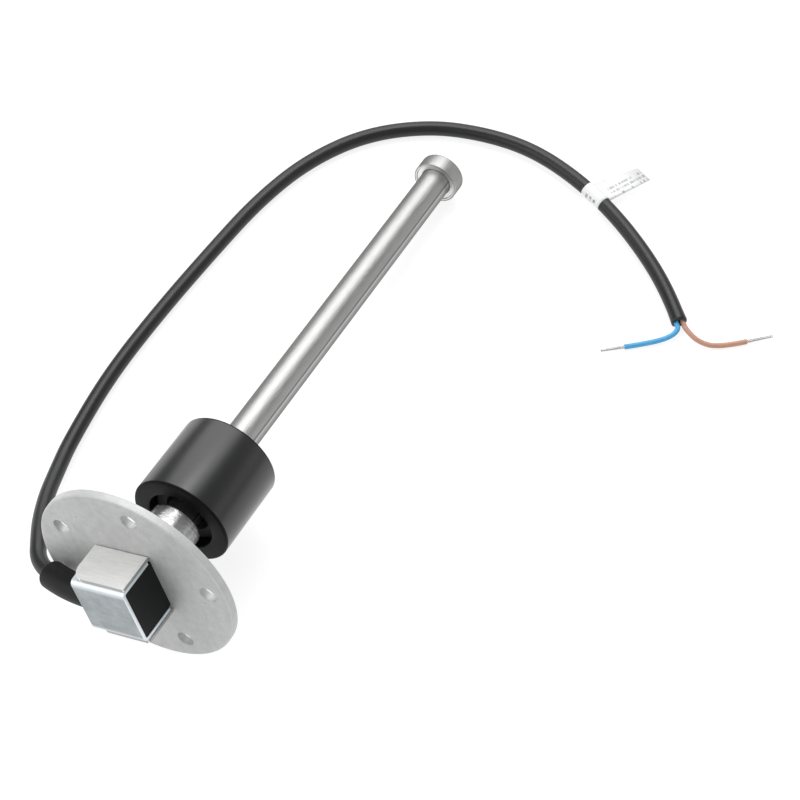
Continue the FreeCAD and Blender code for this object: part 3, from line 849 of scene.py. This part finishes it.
def rounded(corners, steps=5):
    """Profile with each corner, given as radius, place and rounding, turned into an arc."""
    points = []
    count = len(corners)
    for index, (radius, along, rounding) in enumerate(corners):
        corner = Vector((radius, along))
        come = (Vector(corners[index - 1][:2]) - corner).normalized()
        go = (Vector(corners[(index + 1) % count][:2]) - corner).normalized()
        half = come.angle(go) / 2
        centre = corner + (come + go).normalized() * (rounding / math.sin(half))
        trim = rounding / math.tan(half)
        start, end = corner + come * trim - centre, corner + go * trim - centre
        for step in range(steps + 1):
            spot = start.lerp(end, step / steps)
            points.append(centre + spot.normalized() * rounding)
    return points


def turned(corners, middle=Vector(), count=144):
    """Ring-shaped solid turned about the stem, or beside it, from a closed, rounded profile."""
    build = bmesh.new()
    side, up, down = STEM.to_3x3().col
    rings = [ring(build, middle + down * spot.y, side, up, spot.x, count) for spot in rounded(corners)]
    for first, second in zip(rings, rings[1:] + rings[:1]):
        bridge(build, first, second)
    return finished_mesh(build, TURNED_CREASE)


def held(mesh):
    """Object in the scene that holds a mesh while a modifier works on it."""
    holder = bpy.data.objects.new("holder", mesh)
    bpy.context.scene.collection.objects.link(holder)
    return holder


def modified_mesh(holder):
    """Plain mesh as the holder's modifier leaves it; the holder and its own mesh are removed."""
    graph = bpy.context.evaluated_depsgraph_get()
    mesh = bpy.data.meshes.new_from_object(holder.evaluated_get(graph))
    before = holder.data
    bpy.data.objects.remove(holder)
    bpy.data.meshes.remove(before)
    return mesh


def weighted(mesh):
    """The mesh with normals that follow its large faces."""
    holder = held(mesh)
    modifier = holder.modifiers.new("normals", "WEIGHTED_NORMAL")
    modifier.keep_sharp = True
    return modified_mesh(holder)


def softened(node, edge):
    """Copy of a CAD node's mesh with its sharp edges rounded."""
    build = bmesh.new()
    build.from_mesh(frame["nodes"][node].data)
    same_place = 1e-6
    bmesh.ops.remove_doubles(build, verts=build.verts, dist=same_place)
    flat = math.radians(0.5)
    bmesh.ops.dissolve_limit(build, angle_limit=flat, verts=build.verts, edges=build.edges)
    fold = math.radians(35)
    sharp = [line for line in build.edges if line.calc_face_angle(0.0) > fold]
    bmesh.ops.bevel(
        build, geom=sharp, offset=edge, segments=2, profile=0.5, affect="EDGES", clamp_overlap=True
    )
    return weighted(finished_mesh(build, SHEET_CREASE))


def plate(outlines, thickness, edge):
    """Flat plate with rounded edges, square to the stem, its lower face at the stem's start.

    Each round outline has its x, y and radius, and the number of steps in a quarter turn.
    """
    curve = bpy.data.curves.new("plate", "CURVE")
    curve.dimensions = "2D"
    curve.fill_mode = "BOTH"
    curve.extrude = thickness / 2 - edge
    curve.bevel_depth = edge
    curve.bevel_resolution = 3
    curve.offset = -edge
    quarter_handle = 4 / 3 * math.tan(math.pi / 8)
    for x, y, radius, steps in outlines:
        spline = curve.splines.new("BEZIER")
        spline.bezier_points.add(3)
        spline.use_cyclic_u = True
        spline.resolution_u = steps
        for number, point in enumerate(spline.bezier_points):
            turn = math.pi / 2 * number
            out = Vector((math.cos(turn), math.sin(turn), 0.0)) * radius
            along = Vector((-math.sin(turn), math.cos(turn), 0.0)) * radius * quarter_handle
            centre = Vector((x, y, 0.0))
            point.co = centre + out
            point.handle_left = centre + out - along
            point.handle_right = centre + out + along
    holder = bpy.data.objects.new("plate", curve)
    mesh = bpy.data.meshes.new_from_object(holder)
    bpy.data.curves.remove(curve)
    build = bmesh.new()
    build.from_mesh(mesh)
    bpy.data.meshes.remove(mesh)
    same_place = 1e-7
    bmesh.ops.remove_doubles(build, verts=build.verts, dist=same_place)
    bmesh.ops.translate(build, verts=build.verts, vec=(0.0, 0.0, -thickness / 2))
    bmesh.ops.transform(build, matrix=STEM, verts=build.verts)
    return weighted(finished_mesh(build, SHEET_CREASE))


# Twisted strands

def strand_tree():
    """Geometry Nodes tree that twists a number of round strands about the Z axis."""
    tree = bpy.data.node_groups.new("twisted_strands", "GeometryNodeTree")
    tree.interface.new_socket("Geometry", in_out="OUTPUT", socket_type="NodeSocketGeometry")
    for name, kind in (
        ("Strands", "NodeSocketInt"),
        ("Length", "NodeSocketFloat"),
        ("Turns", "NodeSocketFloat"),
        ("Lay radius", "NodeSocketFloat"),
        ("Tip radius", "NodeSocketFloat"),
        ("Strand radius", "NodeSocketFloat"),
        ("Material", "NodeSocketMaterial"),
    ):
        tree.interface.new_socket(name, in_out="INPUT", socket_type=kind)

    def add(kind, links, **settings):
        """Add a node with its settings, and the values or links of its sockets."""
        node = tree.nodes.new(kind if kind.startswith("Shader") else "GeometryNode" + kind)
        for name, setting in settings.items():
            setattr(node, name, setting)
        for key, source in links.items():
            socket = node.inputs[key]
            if isinstance(source, bpy.types.NodeSocket):
                tree.links.new(source, socket)
            else:
                socket.default_value = source
        return node

    given = tree.nodes.new("NodeGroupInput").outputs
    spiral = add("CurveSpiral", {
        "Resolution": 24,
        "Rotations": given["Turns"],
        "Start Radius": given["Lay radius"],
        "End Radius": given["Tip radius"],
        "Height": given["Length"],
    })
    line = add("MeshLine", {"Count": given["Strands"], "Offset": (0.0, 0.0, 0.0)})
    index = add("InputIndex", {})
    share = add("ShaderNodeMath", {0: index.outputs[0], 1: given["Strands"]}, operation="DIVIDE")
    angle = add("ShaderNodeMath", {0: share.outputs[0], 1: 2 * math.pi}, operation="MULTIPLY")
    turn = add("ShaderNodeCombineXYZ", {"Z": angle.outputs[0]})
    section = add("CurvePrimitiveCircle", {"Resolution": 10, "Radius": given["Strand radius"]})
    strand = add("CurveToMesh", {
        "Curve": spiral.outputs["Curve"],
        "Profile Curve": section.outputs["Curve"],
        "Fill Caps": True,
    })
    laid = add("InstanceOnPoints", {
        "Points": line.outputs["Mesh"],
        "Instance": strand.outputs[0],
        "Rotation": turn.outputs[0],
    })
    real = add("RealizeInstances", {"Geometry": laid.outputs[0]})
    painted = add("SetMaterial", {"Geometry": real.outputs[0], "Material": given["Material"]})
    tree.links.new(painted.outputs[0], tree.nodes.new("NodeGroupOutput").inputs[0])
    return tree


def twisted_strands(tree, **inputs):
    """Plain mesh of twisted strands along Z."""
    holder = held(bpy.data.meshes.new("holder"))
    modifier = holder.modifiers.new("strands", "NODES")
    modifier.node_group = tree
    for item in tree.interface.items_tree:
        if item.in_out == "INPUT":
            modifier[item.identifier] = inputs[item.name.lower().replace(" ", "_")]
    mesh = modified_mesh(holder)
    mesh.polygons.foreach_set("use_smooth", [True] * len(mesh.polygons))
    return mesh


# Label

def film_section(inner, flag_reach, half_gap, steps=28):
    """Section of the wrapped film, as points out from the cable and up, from one flag end to the other."""
    opening = 3 * math.asin(half_gap / inner)
    flag_middle = (flag_reach + inner) / 2
    flag_root = (inner * 1.25, half_gap * 1.5)
    flag = [(flag_reach, half_gap), (flag_middle, half_gap), flag_root]
    wrap = []
    for step in range(steps + 1):
        turn = opening + (2 * math.pi - 2 * opening) * step / steps
        wrap.append((inner * math.cos(turn), inner * math.sin(turn)))
    return flag + wrap + [(across, -rise) for across, rise in reversed(flag)]


def label_mesh(sizes, path, place):
    """Film wrapped round the cable at a place on it, its two ends stuck together as a flag."""
    centre, way, _ = path.at(path.nearest(place))
    out = Vector((-way.y, way.x, 0.0)).normalized()
    up = out.cross(way)
    up = up if up.z > 0 else -up
    inner = sizes.cable_diameter / 2 + sizes.label_film
    half_gap = 0.6 * sizes.label_film
    section = film_section(inner, sizes.flag_reach, half_gap)
    columns = 8
    build = bmesh.new()
    layer = build.loops.layers.uv.new("film")
    rows, runs, run = [], [], 0.0
    for index, (across, rise) in enumerate(section):
        if index:
            before = section[index - 1]
            run += math.hypot(across - before[0], rise - before[1])
        share = max(0.0, (across - inner) / (sizes.flag_reach - inner))
        width = sizes.label_width + (sizes.flag_end_width - sizes.label_width) * share
        lean = -sizes.flag_skew * share
        row = []
        for column in range(columns + 1):
            side = width * (column / columns - 0.5)
            spot = centre + out * across + up * rise - way * (side + lean)
            row.append((build.verts.new(spot), side))
        rows.append(row)
        runs.append(run)
    for index in range(len(rows) - 1):
        for column in range(columns):
            corners = (
                (index, column), (index, column + 1), (index + 1, column + 1), (index + 1, column)
            )
            face = build.faces.new([rows[row][spot][0] for row, spot in corners])
            for loop, (row, spot) in zip(face.loops, corners):
                loop[layer].uv = (runs[row], rows[row][spot][1])
    return finished_mesh(build)


# Operators

class SENDER_OT_flange(bpy.types.Operator):
    """Flange plate with its screw holes and tumbled edges"""

    bl_idname = "sender.flange"
    bl_label = "Flange"

    def execute(self, context):
        sizes = context.scene.sender_sizes
        start, end = reach("flange")
        rim_steps, bore_steps, hole_steps = 40, 16, 14
        outlines = [
            (0.0, 0.0, radius_of("flange"), rim_steps),
            (0.0, 0.0, radius_of("stem_tube"), bore_steps),
        ]
        for number in range(sizes.bolt_count):
            turn = 2 * math.pi * number / sizes.bolt_count
            x, y = (sizes.bolt_circle / 2 * side for side in (math.cos(turn), math.sin(turn)))
            outlines.append((x, y, sizes.bolt_hole / 2, hole_steps))
        mesh = plate(outlines, end - start, sizes.tumbled_edge)
        finish = blasted_steel(context.scene.sender_colours.flange)
        new_piece("flange_plate", mesh, finish, SENDER, "blasted_steel", "flange")
        return {"FINISHED"}


class SENDER_OT_stem(bpy.types.Operator):
    """Stem tube, stop collar and end stop"""

    bl_idname = "sender.stem"
    bl_label = "Stem and stops"

    def execute(self, context):
        sizes = context.scene.sender_sizes
        colours = context.scene.sender_colours
        lengthwise = {"rough": 0.36, "stretch": (1.0, 1.0, 0.02), "groove": 0.03 * MM}
        round_stem = {"rough": 0.24, "stretch": (0.04, 0.04, 1.0), "groove": 0.06 * MM}
        # The tube carries painted reflection lines that stand in for the floor's mirrored shadow.
        drawn = grooved_steel("drawn_tube_steel", colours.tube, **lengthwise, mirrored_shadow_lines=True)
        dress_node("stem_tube", drawn)
        bright = grooved_steel("turned_collar_steel", colours.turned, **round_stem)
        weld_gap = 0.1 * MM
        start, end = reach("stop_collar")
        outer = radius_of("stop_collar")
        bore = radius_of("stem_tube") + weld_gap
        fine = sizes.cut_edge
        collar = turned((
            (bore, start, fine),
            (outer, start, fine),
            (outer, end, 3 * fine),
            (bore, end, 2 * fine),
        ))
        new_piece("collar_sleeve", collar, bright, SENDER, "turned_steel", "stop_collar")
        start, end = reach("end_stop")
        outer = radius_of("end_stop")
        rim = outer - sizes.stop_wall
        seat = start + sizes.stop_recess
        floor = end - sizes.stop_floor
        hub = 0.2 * MM
        # The cap's mouth, whose inside gets a painted brightness in place of light.
        mouth = (0.93 * outer, seat + sizes.stop_recess)
        satin = grooved_steel("end_cap_steel", colours.tube, **lengthwise, bore=mouth)
        cap = turned((
            (hub, end, fine / 4),
            (hub, floor, fine / 4),
            (bore, floor, fine),
            (bore, seat, fine),
            (rim, seat, fine),
            (rim, start, 2 * fine),
            (outer, start, 2 * fine),
            (outer, end, sizes.stop_round),
        ))
        new_piece("end_stop_cap", cap, satin, SENDER, "turned_steel", "end_stop")
        return {"FINISHED"}


class SENDER_OT_float(bpy.types.Operator):
    """Float and the ring magnet in its pocket"""

    bl_idname = "sender.float"
    bl_label = "Float"

    def execute(self, context):
        sizes = context.scene.sender_sizes
        colours = context.scene.sender_colours
        top, bottom = reach("float")
        outer = radius_of("float")
        bore = radius_of("stem_tube") + sizes.float_play
        seat = top + sizes.pocket_depth
        fine = 0.3 * MM
        skin = (top + sizes.float_round, bottom - sizes.float_round, 0.85 * outer)
        rubber = black_rubber(
            "float_rubber", colours.float_body, rough=0.36, grain_size=0.35 * MM, specular=0.1, skin=skin
        )
        mesh = turned((
            (bore, seat, fine),
            (sizes.pocket_radius, seat, fine),
            (sizes.pocket_radius, top, 1.5 * fine),
            (outer, top, sizes.float_round),
            (outer, bottom, sizes.float_round),
            (bore, bottom, 1.5 * fine),
        ), hang("float"))
        new_piece("float_moulding", mesh, rubber, FLOAT, "float_rubber", "float")
        top, bottom = reach("float_magnet")
        magnet_step = 0.45 * MM
        inner = bore + magnet_step
        outer = radius_of("float_magnet")
        mesh = turned((
            (inner, top, fine),
            (inner, bottom, fine),
            (outer, bottom, fine),
            (outer, top, fine),
        ), hang("float_magnet"))
        new_piece("ring_magnet", mesh, ferrite(colours.magnet), FLOAT, "magnet_ferrite", "float_magnet")
        return {"FINISHED"}


class SENDER_OT_head(bpy.types.Operator):
    """Bracket, cover, potting and cable boot of the head"""

    bl_idname = "sender.head"
    bl_label = "Head"

    def execute(self, context):
        edge = context.scene.sender_sizes.cut_edge
        colours = context.scene.sender_colours
        spots = stem_spots("head_bracket")
        # Ends of the bracket's tabs, whose cut edges get a painted shade.
        cut = (max(spot.x for spot in spots), min(spot.z for spot in spots))
        bracket = rolled_sheet("bracket_sheet", colours.bracket, rough=0.30, mottle=0.3, metal=0.5, cut=cut)
        mesh = softened("head_bracket", edge)
        new_piece("bracket_tabs", mesh, bracket, SENDER, "bracket_sheet", "head_bracket")
        spots = stem_spots("head_cover")
        # Reach of the cover to its open end and its bends, which get a painted highlight.
        painted_highlight_reach = (max(spot.x for spot in spots), max(spot.y for spot in spots))
        cover = rolled_sheet("zinc_sheet", colours.cover, rough=0.34, mottle=0.7, metal=1.0, painted_highlight_reach=painted_highlight_reach)
        mesh = softened("head_cover", edge)
        new_piece("cover_sheet", mesh, cover, SENDER, "zinc_sheet", "head_cover")
        dress_node("potting_block", potting_resin(colours.potting))
        boot = black_rubber("boot_rubber", colours.boot, rough=0.48, grain_size=0.3 * MM, specular=0.22)
        dress_node("cable_boot", boot)
        return {"FINISHED"}


class SENDER_OT_insides(bpy.types.Operator):
    """Board, reed switches, chip resistors and leads inside the stem"""

    bl_idname = "sender.insides"
    bl_label = "Insides"

    def execute(self, context):
        colours = context.scene.sender_colours
        dress_node("reed_board", board_laminate(colours.laminate))
        dress_node("reed_switches", reed_glass(colours.glass))
        ceramic = black_rubber("chip_ceramic", colours.ceramic, rough=0.4, grain_size=0.2 * MM)
        dress_node("chip_resistors", ceramic)
        dress_node("inner_leads", insulation("lead_insulation", colours.leads))
        return {"FINISHED"}


class SENDER_OT_cores(bpy.types.Operator):
    """Blue and brown cores with their twisted, tinned ends"""

    bl_idname = "sender.cores"
    bl_label = "Cores"

    def execute(self, context):
        sizes = context.scene.sender_sizes
        colours = context.scene.sender_colours
        tree = strand_tree()
        tinned = tinned_copper(colours.tinned)
        for name, colour, route, bare in (
            ("blue", colours.blue, BLUE_ROUTE, sizes.blue_strand_length),
            ("brown", colours.brown, BROWN_ROUTE, sizes.brown_strand_length),
        ):
            path = Path(core_points(route))
            self.add_core(sizes, name, colour, path)
            self.add_strands(sizes, name, tree, tinned, path, bare)
        return {"FINISHED"}

    def add_core(self, sizes, name, colour, path):
        """Insulated core along its path, with a chamfered cut end."""
        radius = sizes.wire_diameter / 2
        cut = 0.1 * MM
        step = 0.4 * MM
        stations = even_stations(0.0, path.length - cut, step, radius)
        stations += [(path.length, radius - cut), (path.length, 0.62 * radius)]
        slot = name + "_insulation"
        mesh = tube(path, stations, count=28)
        new_piece(name + "_core", mesh, insulation(slot, colour), SENDER, slot, name + "_wire")

    def add_strands(self, sizes, name, tree, finish, path, length):
        """Twisted strands that go straight on from the core's cut end."""
        strand_radius = sizes.strand_diameter / 2
        lay_radius = strand_radius / math.sin(math.pi / sizes.strand_count)
        lay_length = 5.5 * MM
        mesh = twisted_strands(
            tree,
            strands=sizes.strand_count,
            length=length,
            turns=length / lay_length,
            lay_radius=lay_radius,
            tip_radius=0.65 * lay_radius,
            strand_radius=strand_radius,
            material=finish,
        )
        end, way, _ = path.at(path.length)
        turn = way.to_track_quat("Z", "Y").to_matrix().to_4x4()
        mesh.transform(Matrix.Translation(end) @ turn)
        new_piece(name + "_tinned_end", mesh, finish, SENDER, "tinned_copper", name + "_strands")


class SENDER_OT_label(bpy.types.Operator):
    """White film label wrapped round the cable"""

    bl_idname = "sender.label"
    bl_label = "Label"

    def execute(self, context):
        sizes = context.scene.sender_sizes
        colours = context.scene.sender_colours
        points = cable_points()
        middle = (points[-LABEL_POINT - 1] + points[-LABEL_POINT]) / 2
        mesh = label_mesh(sizes, Path(points), middle)
        finish = label_film(colours.film, colours.ink)
        piece = new_piece("label_flag", mesh, finish, SENDER, "label_film", "cable_label")
        film = piece.modifiers.new("film", "SOLIDIFY")
        film.thickness = sizes.label_film
        film.offset = 0.0
        return {"FINISHED"}


class SENDER_OT_cable(bpy.types.Operator):
    """Sheathed cable with its cut end"""

    bl_idname = "sender.cable"
    bl_label = "Cable"

    def execute(self, context):
        sizes = context.scene.sender_sizes
        colours = context.scene.sender_colours
        path = Path(cable_points())
        radius = sizes.cable_diameter / 2
        inner = radius - sizes.sheath_wall
        cut = 0.25 * MM
        mouth = 2.2 * MM
        spread = 1.06 * radius
        flare = 5 * MM
        step = 1.5 * MM
        stations = even_stations(0.0, path.length - flare, step, radius)
        stations += [
            (path.length - 0.4 * flare, radius + 0.6 * (spread - radius)),
            (path.length - 2 * cut, spread),
            (path.length - cut / 2, spread - cut / 3),
            (path.length, spread - cut),
            (path.length, inner + cut / 2),
            (path.length - cut / 2, inner),
            (path.length - mouth, inner),
        ]
        finish = black_rubber(
            "cable_sheath", colours.sheath, rough=0.36, grain_size=0.25 * MM, specular=0.45
        )
        piece = new_piece("cable_sheath", tube(path, stations), finish, SENDER, "cable_sheath", "cable")
        return {"FINISHED"}


class SENDER_OT_stage(bpy.types.Operator):
    """White floor, soft studio light and the camera"""

    bl_idname = "sender.stage"
    bl_label = "Stage"

    FLOOR_SIZE = 8.0
    TARGET = Vector((0.09, -0.02, 0.0))
    CAMERA_PLACE = Vector((-217.07, -205.12, 547.52)) * MM
    CAMERA_RIGHT = Vector((0.47336, -0.88087, 0.0))
    CAMERA_UP = Vector((0.74272, 0.39912, 0.53766))
    # Each softbox: the studio property of its power, its way from the target, distance and side.
    SOFTBOXES = {
        "key_softbox": ("key_power", Vector((0.60, 0.34, 0.72)), 0.9, 0.95),
        "top_softbox": ("top_power", Vector((0.39, 0.17, 0.90)), 1.0, 0.3),
        "fill_softbox": ("fill_power", Vector((-0.66, 0.54, 0.52)), 1.0, 1.1),
    }
    # Heights at which the studio's brightness changes, from 0 at eye level to 1 overhead.
    FLOOR_LINE, WALL_FOOT, WALL_TOP, CEILING = 0.07, 0.12, 0.30, 0.42
    SENSOR_WIDTH = 36.0

    def execute(self, context):
        studio = context.scene.sender_studio
        context.scene.view_settings.view_transform = "Standard"
        self.add_floor(context, studio)
        self.add_world(context, studio)
        for name, (power, way, distance, side) in self.SOFTBOXES.items():
            self.add_softbox(context, name, getattr(studio, power), way.normalized(), distance, side)
        self.add_camera(context, studio)
        return {"FINISHED"}

    def add_floor(self, context, studio):
        """Large floor, white about the object and dimmer further off, that glows where it is seen."""
        build = bmesh.new()
        bmesh.ops.create_grid(build, x_segments=1, y_segments=1, size=self.FLOOR_SIZE / 2)
        bmesh.ops.translate(build, verts=build.verts, vec=(0.0, 0.0, FLOOR))
        mesh = bpy.data.meshes.new("floor")
        build.to_mesh(mesh)
        build.free()
        floor = bpy.data.objects.new("floor", mesh)
        context.scene.collection.objects.link(floor)
        made = new_finish("white_floor")
        rays = [
            made.node("ShaderNodeLightPath", output=name)
            for name in ("Is Camera Ray", "Is Glossy Ray", "Is Transmission Ray")
        ]
        seen = made.math("MINIMUM", rays[0] + rays[1] + rays[2], 1.0)
        ends = {0: made.place(), 1: self.TARGET}
        offset = made.node("ShaderNodeVectorMath", {"operation": "SUBTRACT"}, ends)
        edge = studio.sheet_radius
        white = made.ramp(made.around(offset), (edge, 1.0), (2 * edge, studio.horizon))
        bounce = made.node("ShaderNodeBsdfDiffuse", None, {"Color": white})
        lit = made.node("ShaderNodeBsdfDiffuse", None, {"Color": white * studio.floor_diffuse})
        glow = made.node("ShaderNodeEmission", None, {"Color": white, "Strength": studio.floor_glow})
        shown = made.node("ShaderNodeAddShader", None, {0: lit, 1: glow})
        surface = made.node("ShaderNodeMixShader", None, {0: seen, 1: bounce, 2: shown})
        made.node("ShaderNodeOutputMaterial", None, {"Surface": surface})
        mesh.materials.append(made.owner)

    def add_world(self, context, studio):
        """Pale walls under a dimmer ceiling."""
        made = Finish(bpy.data.worlds.new("studio"))
        context.scene.world = made.owner
        way = made.node("ShaderNodeTexCoord", output="Generated")
        level = made.ramp(
            made.along(way, "Z"),
            (self.FLOOR_LINE, studio.horizon),
            (self.WALL_FOOT, studio.wall),
            (self.WALL_TOP, studio.wall),
            (self.CEILING, studio.sky),
        )
        # The walls are darker towards +Y and paler towards -Y.
        side = 0.85 - 0.45 * made.along(way, "Y")
        sky = made.node("ShaderNodeBackground", None, {"Color": level, "Strength": side})
        made.node("ShaderNodeOutputWorld", None, {"Surface": sky})

    def add_softbox(self, context, name, power, way, distance, side):
        """Square softbox that faces the target."""
        lamp = bpy.data.lights.new(name, "AREA")
        lamp.shape = "SQUARE"
        lamp.size = side
        lamp.energy = power
        softbox = bpy.data.objects.new(name, lamp)
        softbox.location = self.TARGET + way * distance
        softbox.rotation_euler = way.to_track_quat("Z", "Y").to_euler()
        softbox.visible_camera = False
        context.scene.collection.objects.link(softbox)

    def add_camera(self, context, studio):
        """Camera of the main view."""
        lens = bpy.data.cameras.new("camera")
        lens.lens = studio.lens
        lens.sensor_width = self.SENSOR_WIDTH
        camera = bpy.data.objects.new("camera", lens)
        back = self.CAMERA_RIGHT.cross(self.CAMERA_UP)
        turn = Matrix((self.CAMERA_RIGHT, self.CAMERA_UP, back)).transposed().to_4x4()
        camera.matrix_world = Matrix.Translation(self.CAMERA_PLACE) @ turn
        context.scene.collection.objects.link(camera)
        context.scene.camera = camera


OPERATORS = (
    SENDER_OT_flange,
    SENDER_OT_stem,
    SENDER_OT_float,
    SENDER_OT_head,
    SENDER_OT_insides,
    SENDER_OT_cores,
    SENDER_OT_label,
    SENDER_OT_cable,
    SENDER_OT_stage,
)


class SENDER_PT_panel(bpy.types.Panel):
    """Buttons for the sender's pieces and its studio"""

    bl_idname = "SENDER_PT_panel"
    bl_label = "Fuel level sender"
    bl_space_type = "VIEW_3D"
    bl_region_type = "UI"
    bl_category = "Sender"

    def draw(self, context):
        for operator in OPERATORS:
            self.layout.operator(operator.bl_idname)


GROUPS = {
    "sender_sizes": SenderSizes,
    "sender_colours": SenderColours,
    "sender_studio": StudioSettings,
}
CLASSES = (*GROUPS.values(), *OPERATORS, SENDER_PT_panel)


def register():
    for item in CLASSES:
        bpy.utils.register_class(item)
    for name, group in GROUPS.items():
        setattr(bpy.types.Scene, name, PointerProperty(type=group))


def unregister():
    for name in GROUPS:
        delattr(bpy.types.Scene, name)
    for item in reversed(CLASSES):
        bpy.utils.unregister_class(item)


def main():
    register()
    for operator in OPERATORS:
        group, name = operator.bl_idname.split(".")
        getattr(getattr(bpy.ops, group), name)()


if __name__ == "__main__":
    main()
